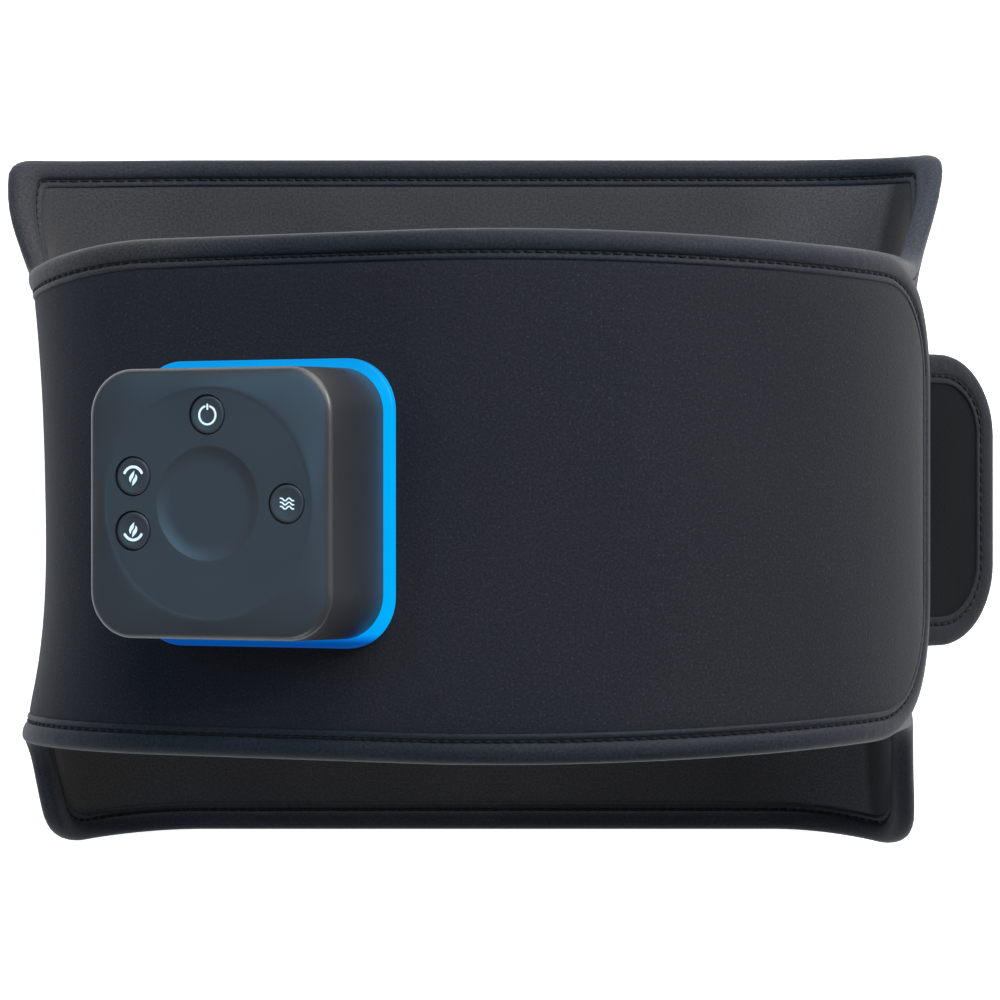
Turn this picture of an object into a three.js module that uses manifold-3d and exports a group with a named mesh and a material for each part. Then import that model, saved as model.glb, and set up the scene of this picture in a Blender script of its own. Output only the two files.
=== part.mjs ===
// A heated vibrating back wrap, lying on its back panel with its flaps closed over the front.
// Millimetres. +X to the wearer's left as seen from the front, +Y up the back, +Z out to the front.
// The origin is the centre of the back panel's outer face, which rests on the table.
import * as THREE from 'three';
import { mergeVertices } from 'three/addons/utils/BufferGeometryUtils.js';
import Module from 'manifold-3d';

const wasm = await Module();
wasm.setup();

// Driving sizes of the fabric
const shell_thickness = 1.2;
const foam_thickness = 3.5;
const lining_thickness = 1.0;
const seat_gap = 0.3;
const binding_width = 10.3;

// Driving sizes of the loop, along the middle of the fabric's thickness
const left_half_width = 153;
const left_corner_radius = 45;
const right_corner_radius = 40;
const hinge_height = 66.2;
const shoulder_radius = 66;
const module_flat_length = 92;
const unit_shift = 3.5;
const unit_drop = 1.1;
const module_tilt = THREE.MathUtils.degToRad(23);
const front_radius = 127;
const front_end_heading = THREE.MathUtils.degToRad(-73);
const right_flap_reach = THREE.MathUtils.degToRad(193);

// Driving sizes of the height, up and down from the middle
const back_top = 124;
const back_bottom = 120;
const flap_top = 85.2;
const flap_neck_top = 78.6;
const flap_bottom = 83;
const right_flap_top = 83;
const right_flap_bottom = 79;
const flap_end_taper = 4.5;
const flap_top_round = 44;
const flap_bottom_round = 46;
const right_flap_round = 30;
const ear_round_top = 12;
const ear_round_bottom = 25;
const ear_drop_top = 3.3;
const ear_drop_bottom = 2.8;
const right_ear_drop_top = 0.8;
const right_ear_drop_bottom = 4.3;
const neck_round = 16;
const ear_slope = THREE.MathUtils.degToRad(60);

// How far the sides flare outwards towards their edges
const left_flare = {
  top: 8, bottom: 9, top_power: 2.7, bottom_power: 2.6, bottom_limit_share: 1, ear_top: 6, ear_bottom: -3,
};
const right_flare = {
  top: 6, bottom: 2, top_power: 2.8, bottom_power: 3, bottom_limit_share: 2, ear_top: 1, ear_bottom: -1,
};

// Driving sizes of what is fixed to the fabric
const patch_thickness = 0.8;
const heater_thickness = 0.6;
const loom_width = 14;
const loom_thickness = 1.2;
const motor_radius = 10;
const motor_wall = 0.6;
const motor_pin_radius = 0.9;
const motor_spread_x = 45;
const motor_spread_y = 62;
const pad_width = 72;
const pad_height = 84;
const pad_centre_x = 45;
const loom_depth = 0.4;
const hook_half_height = 45;
const hook_length = 60;
const hook_inset = 14;
const loop_inset = 45;
const tab_half_height = 50;
const tab_length = 43;
const tab_round = 28;
const tab_core_thickness = 1.6;
const tab_binding_thickness = 3.4;
const tab_binding_width = 10;
const tab_binding_start = 4;
const tab_heading = THREE.MathUtils.degToRad(-42);

// Driving sizes of the control unit
const ring_corner = 16.5;
const ring_height = 2.5;
const ring_band = 5.5;
const cover_base_half = 42.9;
const cover_draft = 0.8;
const cover_face_half = cover_base_half - cover_draft;
const ring_stand_off = 3;
const ring_half = cover_base_half + ring_stand_off;
const cover_corner = 14.5;
const cover_depth = 36;
const cover_crown = 3.7;
const cover_wall = 2.2;
const wall_cutter_depth = 8.8;
const cover_edge_round = 2.2;
const cover_ring_shares = [0.94, 0.86, 0.4];
const flat_disc_share = 0.85;
const cover_corner_steps = 5;
const flange_thickness = 2;
const light_board_band = 2.4;
const light_board_thickness = 1;
const grommet_radius = 3;
const post_radius = 3;
const post_margin = 14.4;
const post_spread = cover_base_half - post_margin;
const battery_corner = 3;
const board_corner = 4;
const plate_corner = 6;
const pin_hole_turn = THREE.MathUtils.degToRad(65);
const pin_hole_rise = 11;
const button_radius = 6;
const button_travel = 0.7;
const button_margin = 14.6;
const button_circle = cover_face_half - button_margin;
const button_stem_radius = 2;
const button_dip = 0.3;
const cover_lip_drop = 1.6;
const button_lip = 1;
const board_thickness = 1.6;
const board_margin = 9.9;
const board_half = cover_base_half - board_margin;
const board_level = 17.4;
const switch_side = 6;
const switch_height = 3.5;
const mat_thickness = 1.2;
const battery_side_margin = 10;
const battery_end_margin = 3;
const battery_height = 10;
const plate_margin = 7.2;
const plate_half = cover_base_half - plate_margin;
const plate_thickness = 2;
const screw_margin = 15.9;
const screw_spread = cover_base_half - screw_margin;
const screw_radius = 1.3;
const screw_head_radius = 2.5;
const screw_head_height = 0.9;
const port_width = 9;
const port_height = 3.3;
const port_length = 7.4;
const port_wall = 0.5;
const pin_hole_radius = 0.6;

const overrun = 2;
const roundest_share = 0.95;
const fabric_thickness = shell_thickness + seat_gap + foam_thickness + seat_gap + lining_thickness;
const half_fabric = fabric_thickness / 2;
const right_radius = front_radius - fabric_thickness - 2 * patch_thickness - 3 * seat_gap;
const button_angle_share = { power: 1 / 4, heat_up: 9 / 20, heat_down: 11 / 20, vibration: 0 };

const colours = {
  shell: 0x26282e, foam: 0x55585c, lining: 0x3a3b3d, binding: 0x1b1c1f, heater: 0xb8742c, loom: 0x111111,
  steel: 0x9a9ea3, ring: 0x00a8ff, cover: 0x39424c, button: 0x2c343d, board: 0x1f5a35, battery: 0x8d9aa6,
  plate: 0x2a2a2c, rubber: 0x202224, hook: 0x17181a,
};

const wrap = new THREE.Group();

function addPiece(name, geometry, colour, roughness, metalness, parent = wrap) {
  const material = new THREE.MeshStandardMaterial({ color: colour, roughness, metalness });
  const mesh = new THREE.Mesh(geometry, material);
  mesh.name = name;
  parent.add(mesh);
  return mesh;
}

// Booleans
function solid(geometry) {
  const bare = geometry.clone();
  bare.deleteAttribute('normal');
  bare.deleteAttribute('uv');
  const merged = mergeVertices(bare, seat_gap / 1000);
  const vertProperties = new Float32Array(merged.attributes.position.array);
  const triVerts = new Uint32Array(merged.index.array);
  const mesh = new wasm.Mesh({ numProp: 3, vertProperties, triVerts });
  mesh.merge();
  return new wasm.Manifold(mesh);
}

function geometryOf(manifold) {
  const mesh = manifold.getMesh();
  const geometry = new THREE.BufferGeometry();
  geometry.setAttribute('position', new THREE.BufferAttribute(new Float32Array(mesh.vertProperties), 3));
  geometry.setIndex(new THREE.BufferAttribute(new Uint32Array(mesh.triVerts), 1));
  return geometry;
}

function cut(geometry, cutters) {
  return geometryOf(cutters.reduce((left, cutter) => left.subtract(solid(cutter)), solid(geometry)));
}

// Rounded square prisms and round bars stand along +Z of their own frame
function roundedRect(half_width, half_height, radius) {
  const shape = new THREE.Shape();
  const w = half_width - radius;
  const h = half_height - radius;
  const turn = Math.PI / 2;
  shape.moveTo(half_width, -h);
  shape.absarc(w, h, radius, 0, turn, false);
  shape.absarc(-w, h, radius, turn, 2 * turn, false);
  shape.absarc(-w, -h, radius, 2 * turn, 3 * turn, false);
  shape.absarc(w, -h, radius, 3 * turn, 4 * turn, false);
  return shape;
}

function prism(shape, low, high, curveSegments = 5) {
  const options = { depth: high - low, bevelEnabled: false, curveSegments };
  return new THREE.ExtrudeGeometry(shape, options).translate(0, 0, low);
}

function bar(radius, low, high, x, y, sides = 16) {
  const geometry = new THREE.CylinderGeometry(radius, radius, high - low, sides);
  geometry.rotateX(Math.PI / 2);
  return geometry.translate(x, y, (low + high) / 2);
}

function block(width, depth, height, x, y, low) {
  return new THREE.BoxGeometry(width, depth, height).translate(x, y, low + height / 2);
}

// The loop's path: a place and a heading for each distance along it.
// Distances above zero run up the left side and over the front, those below zero up the right side.
function walk(segments, distance) {
  let left = distance;
  let x = 0;
  let z = half_fabric;
  let heading = segments.start;
  for (const { length, radius } of segments.list) {
    const step = Math.min(left, length);
    if (radius) {
      const turn = step / radius;
      x += radius * (Math.sin(heading + turn) - Math.sin(heading));
      z -= radius * (Math.cos(heading + turn) - Math.cos(heading));
      heading += turn;
    } else {
      x += step * Math.cos(heading);
      z += step * Math.sin(heading);
    }
    left -= step;
    if (left <= 0) break;
  }
  return { x, z, heading };
}

const left_wall_length = hinge_height - half_fabric - left_corner_radius;
const left_segments = {
  start: Math.PI,
  list: [
    { length: left_half_width - left_corner_radius },
    { length: left_corner_radius * Math.PI / 2, radius: -left_corner_radius },
    { length: left_wall_length },
    { length: shoulder_radius * (Math.PI / 2 - module_tilt), radius: -shoulder_radius },
    { length: module_flat_length },
    { length: front_radius * (module_tilt - front_end_heading), radius: -front_radius },
  ],
};
const marks = (segments) => segments.list.reduce((all, part) => [...all, all.at(-1) + part.length], [0]);
const left_marks = marks(left_segments);
const left_hinge = left_marks[3];
const front_end = left_marks[6];

// The right flap lies under the front flap, so both arcs share one centre
const front_start = walk(left_segments, left_marks[5]);
const front_centre_x = front_start.x + front_radius * Math.sin(front_start.heading);
const front_centre_z = front_start.z - front_radius * Math.cos(front_start.heading);
const right_half_width = front_centre_x + right_radius;
const right_segments = {
  start: 0,
  list: [
    { length: right_half_width - right_corner_radius },
    { length: right_corner_radius * Math.PI / 2, radius: right_corner_radius },
    { length: front_centre_z - half_fabric - right_corner_radius },
    { length: right_radius * (right_flap_reach - Math.PI / 2), radius: right_radius },
  ],
};
const right_marks = marks(right_segments);
const right_hinge = right_marks[3] + right_radius * Math.asin((hinge_height - front_centre_z) / right_radius);
const right_end = right_marks[4];

const smooth = (value, low, high) => THREE.MathUtils.smoothstep(value, low, high);
const mix = (from, to, share) => from + (to - from) * share;

function flare(s, y) {
  const on_left = s > 0;
  const far = Math.abs(s);
  const limits = on_left ? left_marks : right_marks;
  const fall = on_left ? left_marks[4] : right_hinge + binding_width;
  const rise = smooth(far, limits[1] - binding_width, limits[2]);
  const grow = rise * (1 - smooth(far, limits[3] - binding_width, fall));
  const side = on_left ? left_flare : right_flare;
  const amount = y > 0
    ? side.top * (y / flap_top) ** side.top_power
    : side.bottom * Math.min(-y / flap_bottom, side.bottom_limit_share) ** side.bottom_power;
  const ear = y > 0 ? side.ear_top : side.ear_bottom;
  const lobe = rise * (1 - smooth(far, limits[2], on_left ? left_hinge : right_hinge));
  const ear_share = lobe * smooth(Math.abs(y), flap_top - 2 * binding_width, back_bottom - binding_width);
  const outwards = amount * grow + ear * ear_share;
  return on_left ? -outwards : outwards;
}

// A point of the fabric: s along the path, n outwards from the middle of the thickness, y up the back
function place(s, n, y) {
  const on_left = s >= 0;
  const point = walk(on_left ? left_segments : right_segments, Math.abs(s));
  const side = on_left ? 1 : -1;
  const x = point.x - side * Math.sin(point.heading) * n + flare(s, y);
  const z = point.z + side * Math.cos(point.heading) * n;
  return new THREE.Vector3(x, y, z);
}

// The edges of the flat pattern
function backHalfHeight(s, back, flap, ear_round) {
  const ear_run = ear_round * Math.sin(ear_slope);
  const neck_run = neck_round * Math.sin(ear_slope);
  const turned_drop = (ear_round + neck_round) * (1 - Math.cos(ear_slope));
  const straight_run = (back - flap - turned_drop) / Math.tan(ear_slope);
  const end = s > 0 ? left_hinge : right_hinge;
  const run = Math.abs(s) - (end - ear_run - neck_run - straight_run);
  if (run <= 0) return back;
  if (run <= ear_run) return back - ear_round + Math.sqrt(ear_round ** 2 - run ** 2);
  const left = ear_run + straight_run + neck_run - run;
  if (left <= 0) return flap;
  if (left <= neck_run) return flap + neck_round - Math.sqrt(neck_round ** 2 - left ** 2);
  return flap + neck_round * (1 - Math.cos(ear_slope)) + (left - neck_run) * Math.tan(ear_slope);
}
function earDrop(s, left_drop, right_drop) {
  const limits = s > 0 ? left_marks : right_marks;
  const end = s > 0 ? left_hinge : right_hinge;
  const far = Math.abs(s);
  const rise = smooth(far, limits[1], limits[2]) * (1 - smooth(far, limits[2], end));
  return (s > 0 ? left_drop : right_drop) * rise;
}
const neckTop = (s) => (s > 0 ? flap_neck_top : right_flap_top);
const neckBottom = (s) => (s > 0 ? flap_bottom : right_flap_bottom);
function backTopEdge(s) {
  const edge = backHalfHeight(s, back_top, neckTop(s), ear_round_top);
  return edge - earDrop(s, ear_drop_top, right_ear_drop_top);
}
function backBottomEdge(s) {
  const edge = -backHalfHeight(s, back_bottom, neckBottom(s), ear_round_bottom);
  return edge - earDrop(s, ear_drop_bottom, right_ear_drop_bottom);
}
const endTaper = (s) => flap_end_taper * smooth(s, left_marks[5], front_end);
const flapTopEdge = (s) => mix(backTopEdge(s), flap_top, smooth(s, left_hinge, left_marks[4])) - endTaper(s);
const flapBottomEdge = (s) => backBottomEdge(s) + endTaper(s);

function spread(low, high, count) {
  return Array.from({ length: count + 1 }, (unused, i) => mix(low, high, i / count));
}

// Stations run from one end of a panel to the other, each with a point on the upper and the lower edge
function straightStations(list, topEdge, bottomEdge) {
  return list.map((s) => ({ top: [s, topEdge(s)], bottom: [s, bottomEdge(s)] }));
}

function roundStations(end, direction, topEdge, bottomEdge, top_round, bottom_round, steps) {
  return spread(0, Math.PI / 2, steps).map((angle) => {
    const corner = (radius, edge, sign) => {
      const s = end - direction * radius * (1 - Math.sin(angle));
      return [s, edge(s) - sign * radius * (1 - Math.cos(angle))];
    };
    return { top: corner(top_round, topEdge, 1), bottom: corner(bottom_round, bottomEdge, -1) };
  });
}

// The inward direction at each point of an edge, square to its neighbours
function edgeLine(points, sign) {
  return points.map((point, i) => {
    const before = points[Math.max(i - 1, 0)];
    const after = points[Math.min(i + 1, points.length - 1)];
    const run = Math.hypot(after[0] - before[0], after[1] - before[1]);
    return { point, inward: [sign * (after[1] - before[1]) / run, -sign * (after[0] - before[0]) / run] };
  });
}

function inset({ point, inward }, amount) {
  return [point[0] + inward[0] * amount, point[1] + inward[1] * amount];
}

function pattern(stations, direction, closed_end) {
  const tops = stations.map((station) => station.top);
  const bottoms = stations.map((station) => station.bottom);
  const top = edgeLine(tops, direction);
  const bottom = edgeLine(bottoms, -direction);
  for (const line of [top, bottom]) {
    const sign = line === top ? -1 : 1;
    line[0].inward = [0, sign];
    line.at(-1).inward = closed_end ? [-direction, 0] : [0, sign];
  }
  return { top, bottom, closed_end, direction };
}

// A fabric layer between two depths, its rim just inside the binding
function layer(panel, low, high, middle_lines) {
  const rows = panel.top.map((edge, i) => {
    const upper = inset(edge, rim);
    const lower = inset(panel.bottom[i], rim);
    return spread(0, 1, middle_lines).map((share) => lower.map((value, k) => mix(value, upper[k], share)));
  });
  return sheet(rows, low, high);
}

function sheet(rows, low, high) {
  const across = rows[0].length;
  const positions = [];
  const faces = [];
  for (const depth of [low, high]) {
    for (const row of rows) {
      for (const [s, y] of row) positions.push(...place(s, depth, y).toArray());
    }
  }
  const index = (level, i, j) => (level * rows.length + i) * across + j;
  const quad = (a, b, c, d) => faces.push(a, b, c, a, c, d);
  for (let i = 0; i < rows.length - 1; i++) {
    for (let j = 0; j < across - 1; j++) {
      quad(index(0, i, j), index(0, i, j + 1), index(0, i + 1, j + 1), index(0, i + 1, j));
      quad(index(1, i, j), index(1, i + 1, j), index(1, i + 1, j + 1), index(1, i, j + 1));
    }
    quad(index(0, i + 1, 0), index(1, i + 1, 0), index(1, i, 0), index(0, i, 0));
    const last = across - 1;
    quad(index(0, i, last), index(1, i, last), index(1, i + 1, last), index(0, i + 1, last));
  }
  for (let j = 0; j < across - 1; j++) {
    const end = rows.length - 1;
    quad(index(0, 0, j), index(1, 0, j), index(1, 0, j + 1), index(0, 0, j + 1));
    quad(index(0, end, j + 1), index(1, end, j + 1), index(1, end, j), index(0, end, j));
  }
  return closedGeometry(positions, faces);
}

// Turns the faces outwards where the pattern runs the other way
function closedGeometry(positions, faces) {
  let volume = 0;
  const corner = (i) => new THREE.Vector3().fromArray(positions, 3 * i);
  for (let i = 0; i < faces.length; i += 3) {
    volume += corner(faces[i]).dot(corner(faces[i + 1]).cross(corner(faces[i + 2])));
  }
  const index = volume > 0 ? faces : faces.slice().reverse();
  const geometry = new THREE.BufferGeometry();
  geometry.setAttribute('position', new THREE.Float32BufferAttribute(positions, 3));
  geometry.setIndex(index);
  return geometry;
}

// The folded edge binding with the foam edge that it wraps, swept along the edge of the pattern
const band = [
  [0, -half_fabric], [binding_width, -half_fabric], [binding_width, half_fabric], [0, half_fabric],
];

function binding(line) {
  const positions = [];
  const faces = [];
  for (const edge of line) {
    for (const [inwards, depth] of band) {
      const [s, y] = inset(edge, inwards);
      positions.push(...place(s, depth, y).toArray());
    }
  }
  const count = band.length;
  for (let i = 0; i < line.length - 1; i++) {
    for (let j = 0; j < count; j++) {
      const k = (j + 1) % count;
      const [a, b, c, d] = [i * count + j, i * count + k, (i + 1) * count + k, (i + 1) * count + j];
      faces.push(a, b, c, a, c, d);
    }
  }
  const caps = THREE.ShapeUtils.triangulateShape(band.map(([x, y]) => new THREE.Vector2(x, y)), []);
  const last = (line.length - 1) * count;
  for (const [a, b, c] of caps) {
    faces.push(c, b, a);
    faces.push(last + a, last + b, last + c);
  }
  return closedGeometry(positions, faces);
}

// Panels
const end_gap = seat_gap / 2;
const rim = binding_width + seat_gap;

const back_list = [
  ...spread(-right_hinge + end_gap, -right_marks[2], 4),
  ...spread(-right_marks[2], -right_marks[1], 9).slice(1),
  ...spread(-right_marks[1], 0, 4).slice(1),
  ...spread(0, left_marks[1], 4).slice(1),
  ...spread(left_marks[1], left_marks[2], 10).slice(1),
  ...spread(left_marks[2], left_hinge - end_gap, 3).slice(1),
];
const back_panel = pattern(straightStations(back_list, backTopEdge, backBottomEdge), 1, false);

const front_list = [
  ...spread(left_hinge + end_gap, left_marks[4], 10),
  ...spread(left_marks[4], left_marks[5], 4).slice(1),
  ...spread(left_marks[5], front_end - flap_bottom_round, 18).slice(1),
];
const front_corner = roundStations(
  front_end, 1, flapTopEdge, flapBottomEdge, flap_top_round, flap_bottom_round, 6);
const front_panel = pattern(
  [...straightStations(front_list, flapTopEdge, flapBottomEdge), ...front_corner.slice(1)], 1, true);

const right_list = spread(-right_hinge - end_gap, -(right_end - right_flap_round), 18);
const right_corner = roundStations(
  -right_end, -1, backTopEdge, backBottomEdge, right_flap_round, right_flap_round, 5);
const right_panel = pattern(
  [...straightStations(right_list, backTopEdge, backBottomEdge), ...right_corner.slice(1)], -1, true);

const shell_low = half_fabric - shell_thickness;
const foam_high = shell_low - seat_gap;
const foam_low = foam_high - foam_thickness;
const lining_high = foam_low - seat_gap;
const middle_lines = 4;

function panelLayers(panel) {
  return {
    shell: layer(panel, shell_low, half_fabric, middle_lines),
    foam: layer(panel, foam_low, foam_high, middle_lines),
    lining: layer(panel, -half_fabric, lining_high, middle_lines),
  };
}

const back_layers = panelLayers(back_panel);
const front_layers = panelLayers(front_panel);
const right_layers = panelLayers(right_panel);

addPiece('back_outer_shell', back_layers.shell, colours.shell, 0.95, 0);
addPiece('back_lining', back_layers.lining, colours.lining, 0.95, 0);
addPiece('back_binding_upper', binding(back_panel.top), colours.binding, 0.7, 0);
addPiece('back_binding_lower', binding(back_panel.bottom), colours.binding, 0.7, 0);

// Back panel: heating pads over the foam's inner face, motors in pockets of the foam
const foam_base = half_fabric - foam_high;
const foam_top = half_fabric - foam_low;
const pocket_cutters = [];

function turned(profile, sides, x, y) {
  const points = profile.map(([radius, level]) => new THREE.Vector2(radius, level));
  return new THREE.LatheGeometry(points, sides).rotateX(Math.PI / 2).translate(x, y, 0);
}

for (const side of [-1, 1]) {
  const name = side < 0 ? 'heating_pad_left' : 'heating_pad_right';
  const x = side * pad_centre_x;
  const low = foam_top - heater_thickness;
  addPiece(name, block(pad_width, pad_height, heater_thickness, x, 0, low), colours.heater, 0.6, 0.2);
  const clear = 2 * seat_gap;
  const depth = heater_thickness + seat_gap + overrun;
  pocket_cutters.push(block(pad_width + clear, pad_height + clear, depth, x, 0, low - seat_gap));
}

const motor_top = foam_base + foam_thickness;
const motor_floor = foam_base + motor_wall;
const motor_inner = motor_radius - motor_wall;
[[-1, 1], [1, 1], [-1, -1], [1, -1]].forEach(([side, level], i) => {
  const x = side * motor_spread_x;
  const y = level * motor_spread_y;
  const can = [
    [0, foam_base], [motor_radius, foam_base], [motor_radius, motor_top], [motor_inner, motor_top],
    [motor_inner, motor_floor], [motor_pin_radius, motor_floor], [motor_pin_radius, motor_top], [0, motor_top],
  ];
  addPiece(`motor_can_${i + 1}`, turned(can, 20, x, y), colours.steel, 0.35, 0.9);
  const weight = new THREE.Shape();
  weight.absarc(0, 0, motor_inner - seat_gap, 0, Math.PI, false);
  weight.absarc(0, 0, motor_pin_radius + seat_gap, Math.PI, 0, true);
  const half_disc = prism(weight, motor_floor + seat_gap, motor_top - seat_gap, 10).translate(x, y, 0);
  addPiece(`motor_weight_${i + 1}`, half_disc, colours.steel, 0.4, 0.9);
  pocket_cutters.push(bar(motor_radius + seat_gap, -overrun, foam_top + overrun, x, y, 20));
});

// The flat loom runs from the pads up the left side inside a groove of the foam
function loom(from, to, steps) {
  const rows = spread(from, to, steps).map((s) => [[s, -loom_width / 2], [s, loom_width / 2]]);
  const high = foam_high - loom_depth;
  return sheet(rows, high - loom_thickness, high);
}

function loomGroove(from, to, steps) {
  const reach = loom_width / 2 + seat_gap;
  const rows = spread(from, to, steps).map((s) => [[s, -reach], [s, reach]]);
  const high = foam_high - loom_depth;
  return sheet(rows, high - loom_thickness - seat_gap, foam_high + 3 * seat_gap);
}

const loom_start = pad_centre_x + pad_width / 2 - loom_width;
addPiece('back_loom', loom(loom_start, left_hinge - end_gap, 16), colours.loom, 0.8, 0);
pocket_cutters.push(loomGroove(loom_start - seat_gap, left_hinge + overrun, 17));
addPiece('back_foam', cut(back_layers.foam, pocket_cutters), colours.foam, 0.95, 0);

// The control unit's frame: its own +Z leaves the fabric, its origin lies on the outer fabric
const unit_mark = left_marks[4] + module_flat_length / 2 - unit_shift;
const unit_place = place(unit_mark, half_fabric, -unit_drop);
const unit = new THREE.Group();
unit.position.copy(unit_place);
unit.rotation.y = -module_tilt;
wrap.add(unit);

const toRow = (geometry) => geometry.rotateY(-module_tilt).translate(unit_place.x, unit_place.y, unit_place.z);
const screw_places = [[-1, -1], [1, -1], [1, 1], [-1, 1]].map(([a, b]) => [a * screw_spread, b * screw_spread]);
const screw_hole = screw_radius + seat_gap;
const grommet_hole = grommet_radius + seat_gap;

// Front flap
const plate_high = -shell_thickness - seat_gap;
const plate_low = plate_high - plate_thickness;
const window_half = plate_half + seat_gap;
const through = [-fabric_thickness - overrun, overrun];
const shell_holes = screw_places.map(([x, y]) => toRow(bar(screw_hole, ...through, x, y, 12)));
shell_holes.push(toRow(bar(grommet_hole, ...through, 0, 0, 12)));
addPiece('front_outer_shell', cut(front_layers.shell, shell_holes), colours.shell, 0.95, 0);
const foam_cutters = [
  toRow(prism(roundedRect(window_half, window_half, plate_corner), ...through)),
  loomGroove(left_hinge - overrun, unit_mark, 14),
];
addPiece('front_foam', cut(front_layers.foam, foam_cutters), colours.foam, 0.95, 0);
addPiece('front_lining', front_layers.lining, colours.lining, 0.95, 0);
const front_edge = [...front_panel.top, ...front_panel.bottom.slice().reverse()];
addPiece('front_binding', binding(front_edge), colours.binding, 0.7, 0);
const front_loom_end = unit_mark - window_half - seat_gap;
addPiece('front_loom', loom(left_hinge + end_gap, front_loom_end, 10), colours.loom, 0.8, 0);

function patch(side, from, to, half_height, low, steps) {
  const rows = spread(from, to, steps).map((s) => {
    return spread(-half_height, half_height, 2).map((y) => [side * s, y]);
  });
  return sheet(rows, low, low + patch_thickness);
}

const hook_low = -half_fabric - seat_gap - patch_thickness;
const hook_from = front_end - hook_inset - hook_length;
const hook_to = front_end - hook_inset;
addPiece('front_hook_patch', patch(1, hook_from, hook_to, hook_half_height, hook_low, 8), colours.hook, 0.9, 0);

// Right flap
addPiece('right_outer_shell', right_layers.shell, colours.shell, 0.95, 0);
addPiece('right_foam', right_layers.foam, colours.foam, 0.95, 0);
addPiece('right_lining', right_layers.lining, colours.lining, 0.95, 0);
const right_edge = [...right_panel.top, ...right_panel.bottom.slice().reverse()];
addPiece('right_binding', binding(right_edge), colours.binding, 0.7, 0);
const loop_low = half_fabric + seat_gap;
const loop_from = right_hinge + loop_inset;
const loop_to = right_end - right_flap_round - binding_width;
const loop_field = patch(-1, loop_from, loop_to, hook_half_height, loop_low, 14);
addPiece('right_loop_field', loop_field, colours.hook, 0.9, 0);

// Pull tab: its own +X leaves the flap's end, its own +Z is its outer side
const flap_inner_corner = place(front_end, -half_fabric, 0);
const tab = new THREE.Group();
const tab_offset = seat_gap * 2;
tab.position.set(
  flap_inner_corner.x + tab_offset * Math.cos(tab_heading),
  0,
  flap_inner_corner.z + tab_offset * Math.sin(tab_heading) - seat_gap,
);
tab.rotation.y = -tab_heading;
wrap.add(tab);

// A D-shaped outline that leaves out the root side
function tabEdge() {
  const flat = tab_length - tab_round;
  const points = [[tab_binding_start, tab_half_height], [flat, tab_half_height]];
  for (const angle of spread(0, Math.PI / 2, 6).slice(1)) {
    points.push([flat + tab_round * Math.sin(angle), tab_half_height - tab_round * (1 - Math.cos(angle))]);
  }
  return points;
}

const tab_upper = tabEdge();
const tab_outline = [...tab_upper, ...tab_upper.map(([x, y]) => [x, -y]).reverse()];
const tab_line = edgeLine(tab_outline, 1);
tab_line[0].inward = [0, -1];
tab_line.at(-1).inward = [0, 1];

function flatShape(points) {
  return new THREE.Shape(points.map(([x, y]) => new THREE.Vector2(x, y)));
}

const tab_rim = tab_binding_width + seat_gap;
const tab_inner = tab_line.map((edge) => inset(edge, tab_rim));
const tab_field = [[0, tab_inner[0][1]], ...tab_inner, [0, -tab_inner[0][1]]];
const tab_core = prism(flatShape(tab_field), -tab_core_thickness, 0);
addPiece('pull_tab_field', tab_core, colours.lining, 0.95, 0, tab);
const tab_band = [...tab_outline, ...tab_line.map((edge) => inset(edge, tab_binding_width)).reverse()];
const tab_band_low = -(tab_core_thickness + tab_binding_thickness) / 2;
const tab_band_high = tab_band_low + tab_binding_thickness;
const tab_binding = prism(flatShape(tab_band), tab_band_low, tab_band_high);
addPiece('pull_tab_binding', tab_binding, colours.binding, 0.7, 0, tab);

// Control unit: base, light ring and light board
const ring_low = seat_gap;
const ring_high = ring_low + ring_height;
const base_half = ring_half - ring_band - light_board_band - 2 * seat_gap;
const flange_low = ring_high + seat_gap;
const flange_high = flange_low + flange_thickness;
const cover_inner_half = cover_base_half - cover_wall;
const flange_half = cover_inner_half - seat_gap;

function frameShape(outer, inner, corner) {
  const shape = roundedRect(outer, outer, corner);
  shape.holes.push(roundedRect(inner, inner, corner - (outer - inner)));
  return shape;
}

const ring_shape = frameShape(ring_half, ring_half - ring_band, ring_corner);
addPiece('light_ring', prism(ring_shape, ring_low, ring_high, 6), colours.ring, 0.3, 0, unit);
const light_outer = ring_half - ring_band - seat_gap;
const light_corner = ring_corner - ring_band - seat_gap;
const light_shape = frameShape(light_outer, light_outer - light_board_band, light_corner);
const light_board = prism(light_shape, ring_low, ring_low + light_board_thickness, 4);
addPiece('light_board', light_board, colours.board, 0.5, 0, unit);

const base_corner = light_corner - light_board_band - seat_gap;
const board_low = flange_high + board_level;
const board_high = board_low + board_thickness;
let base = solid(prism(roundedRect(base_half, base_half, base_corner), ring_low, flange_high, 4));
const flange_corner = cover_corner - cover_wall - seat_gap;
const flange = prism(roundedRect(flange_half, flange_half, flange_corner), flange_low, flange_high, 5);
base = base.add(solid(flange));
for (const [a, b] of [[-1, -1], [1, -1], [1, 1], [-1, 1]]) {
  const post = bar(post_radius, flange_low, board_low - seat_gap, a * post_spread, b * post_spread, 12);
  base = base.add(solid(post));
}
const screw_tip = flange_low;
for (const [x, y] of screw_places) {
  base = base.subtract(solid(bar(screw_hole, -overrun, screw_tip + seat_gap, x, y, 12)));
}
base = base.subtract(solid(bar(grommet_hole, -overrun, flange_high + overrun, 0, 0, 12)));
addPiece('module_base', geometryOf(base), colours.cover, 0.6, 0, unit);

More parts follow.
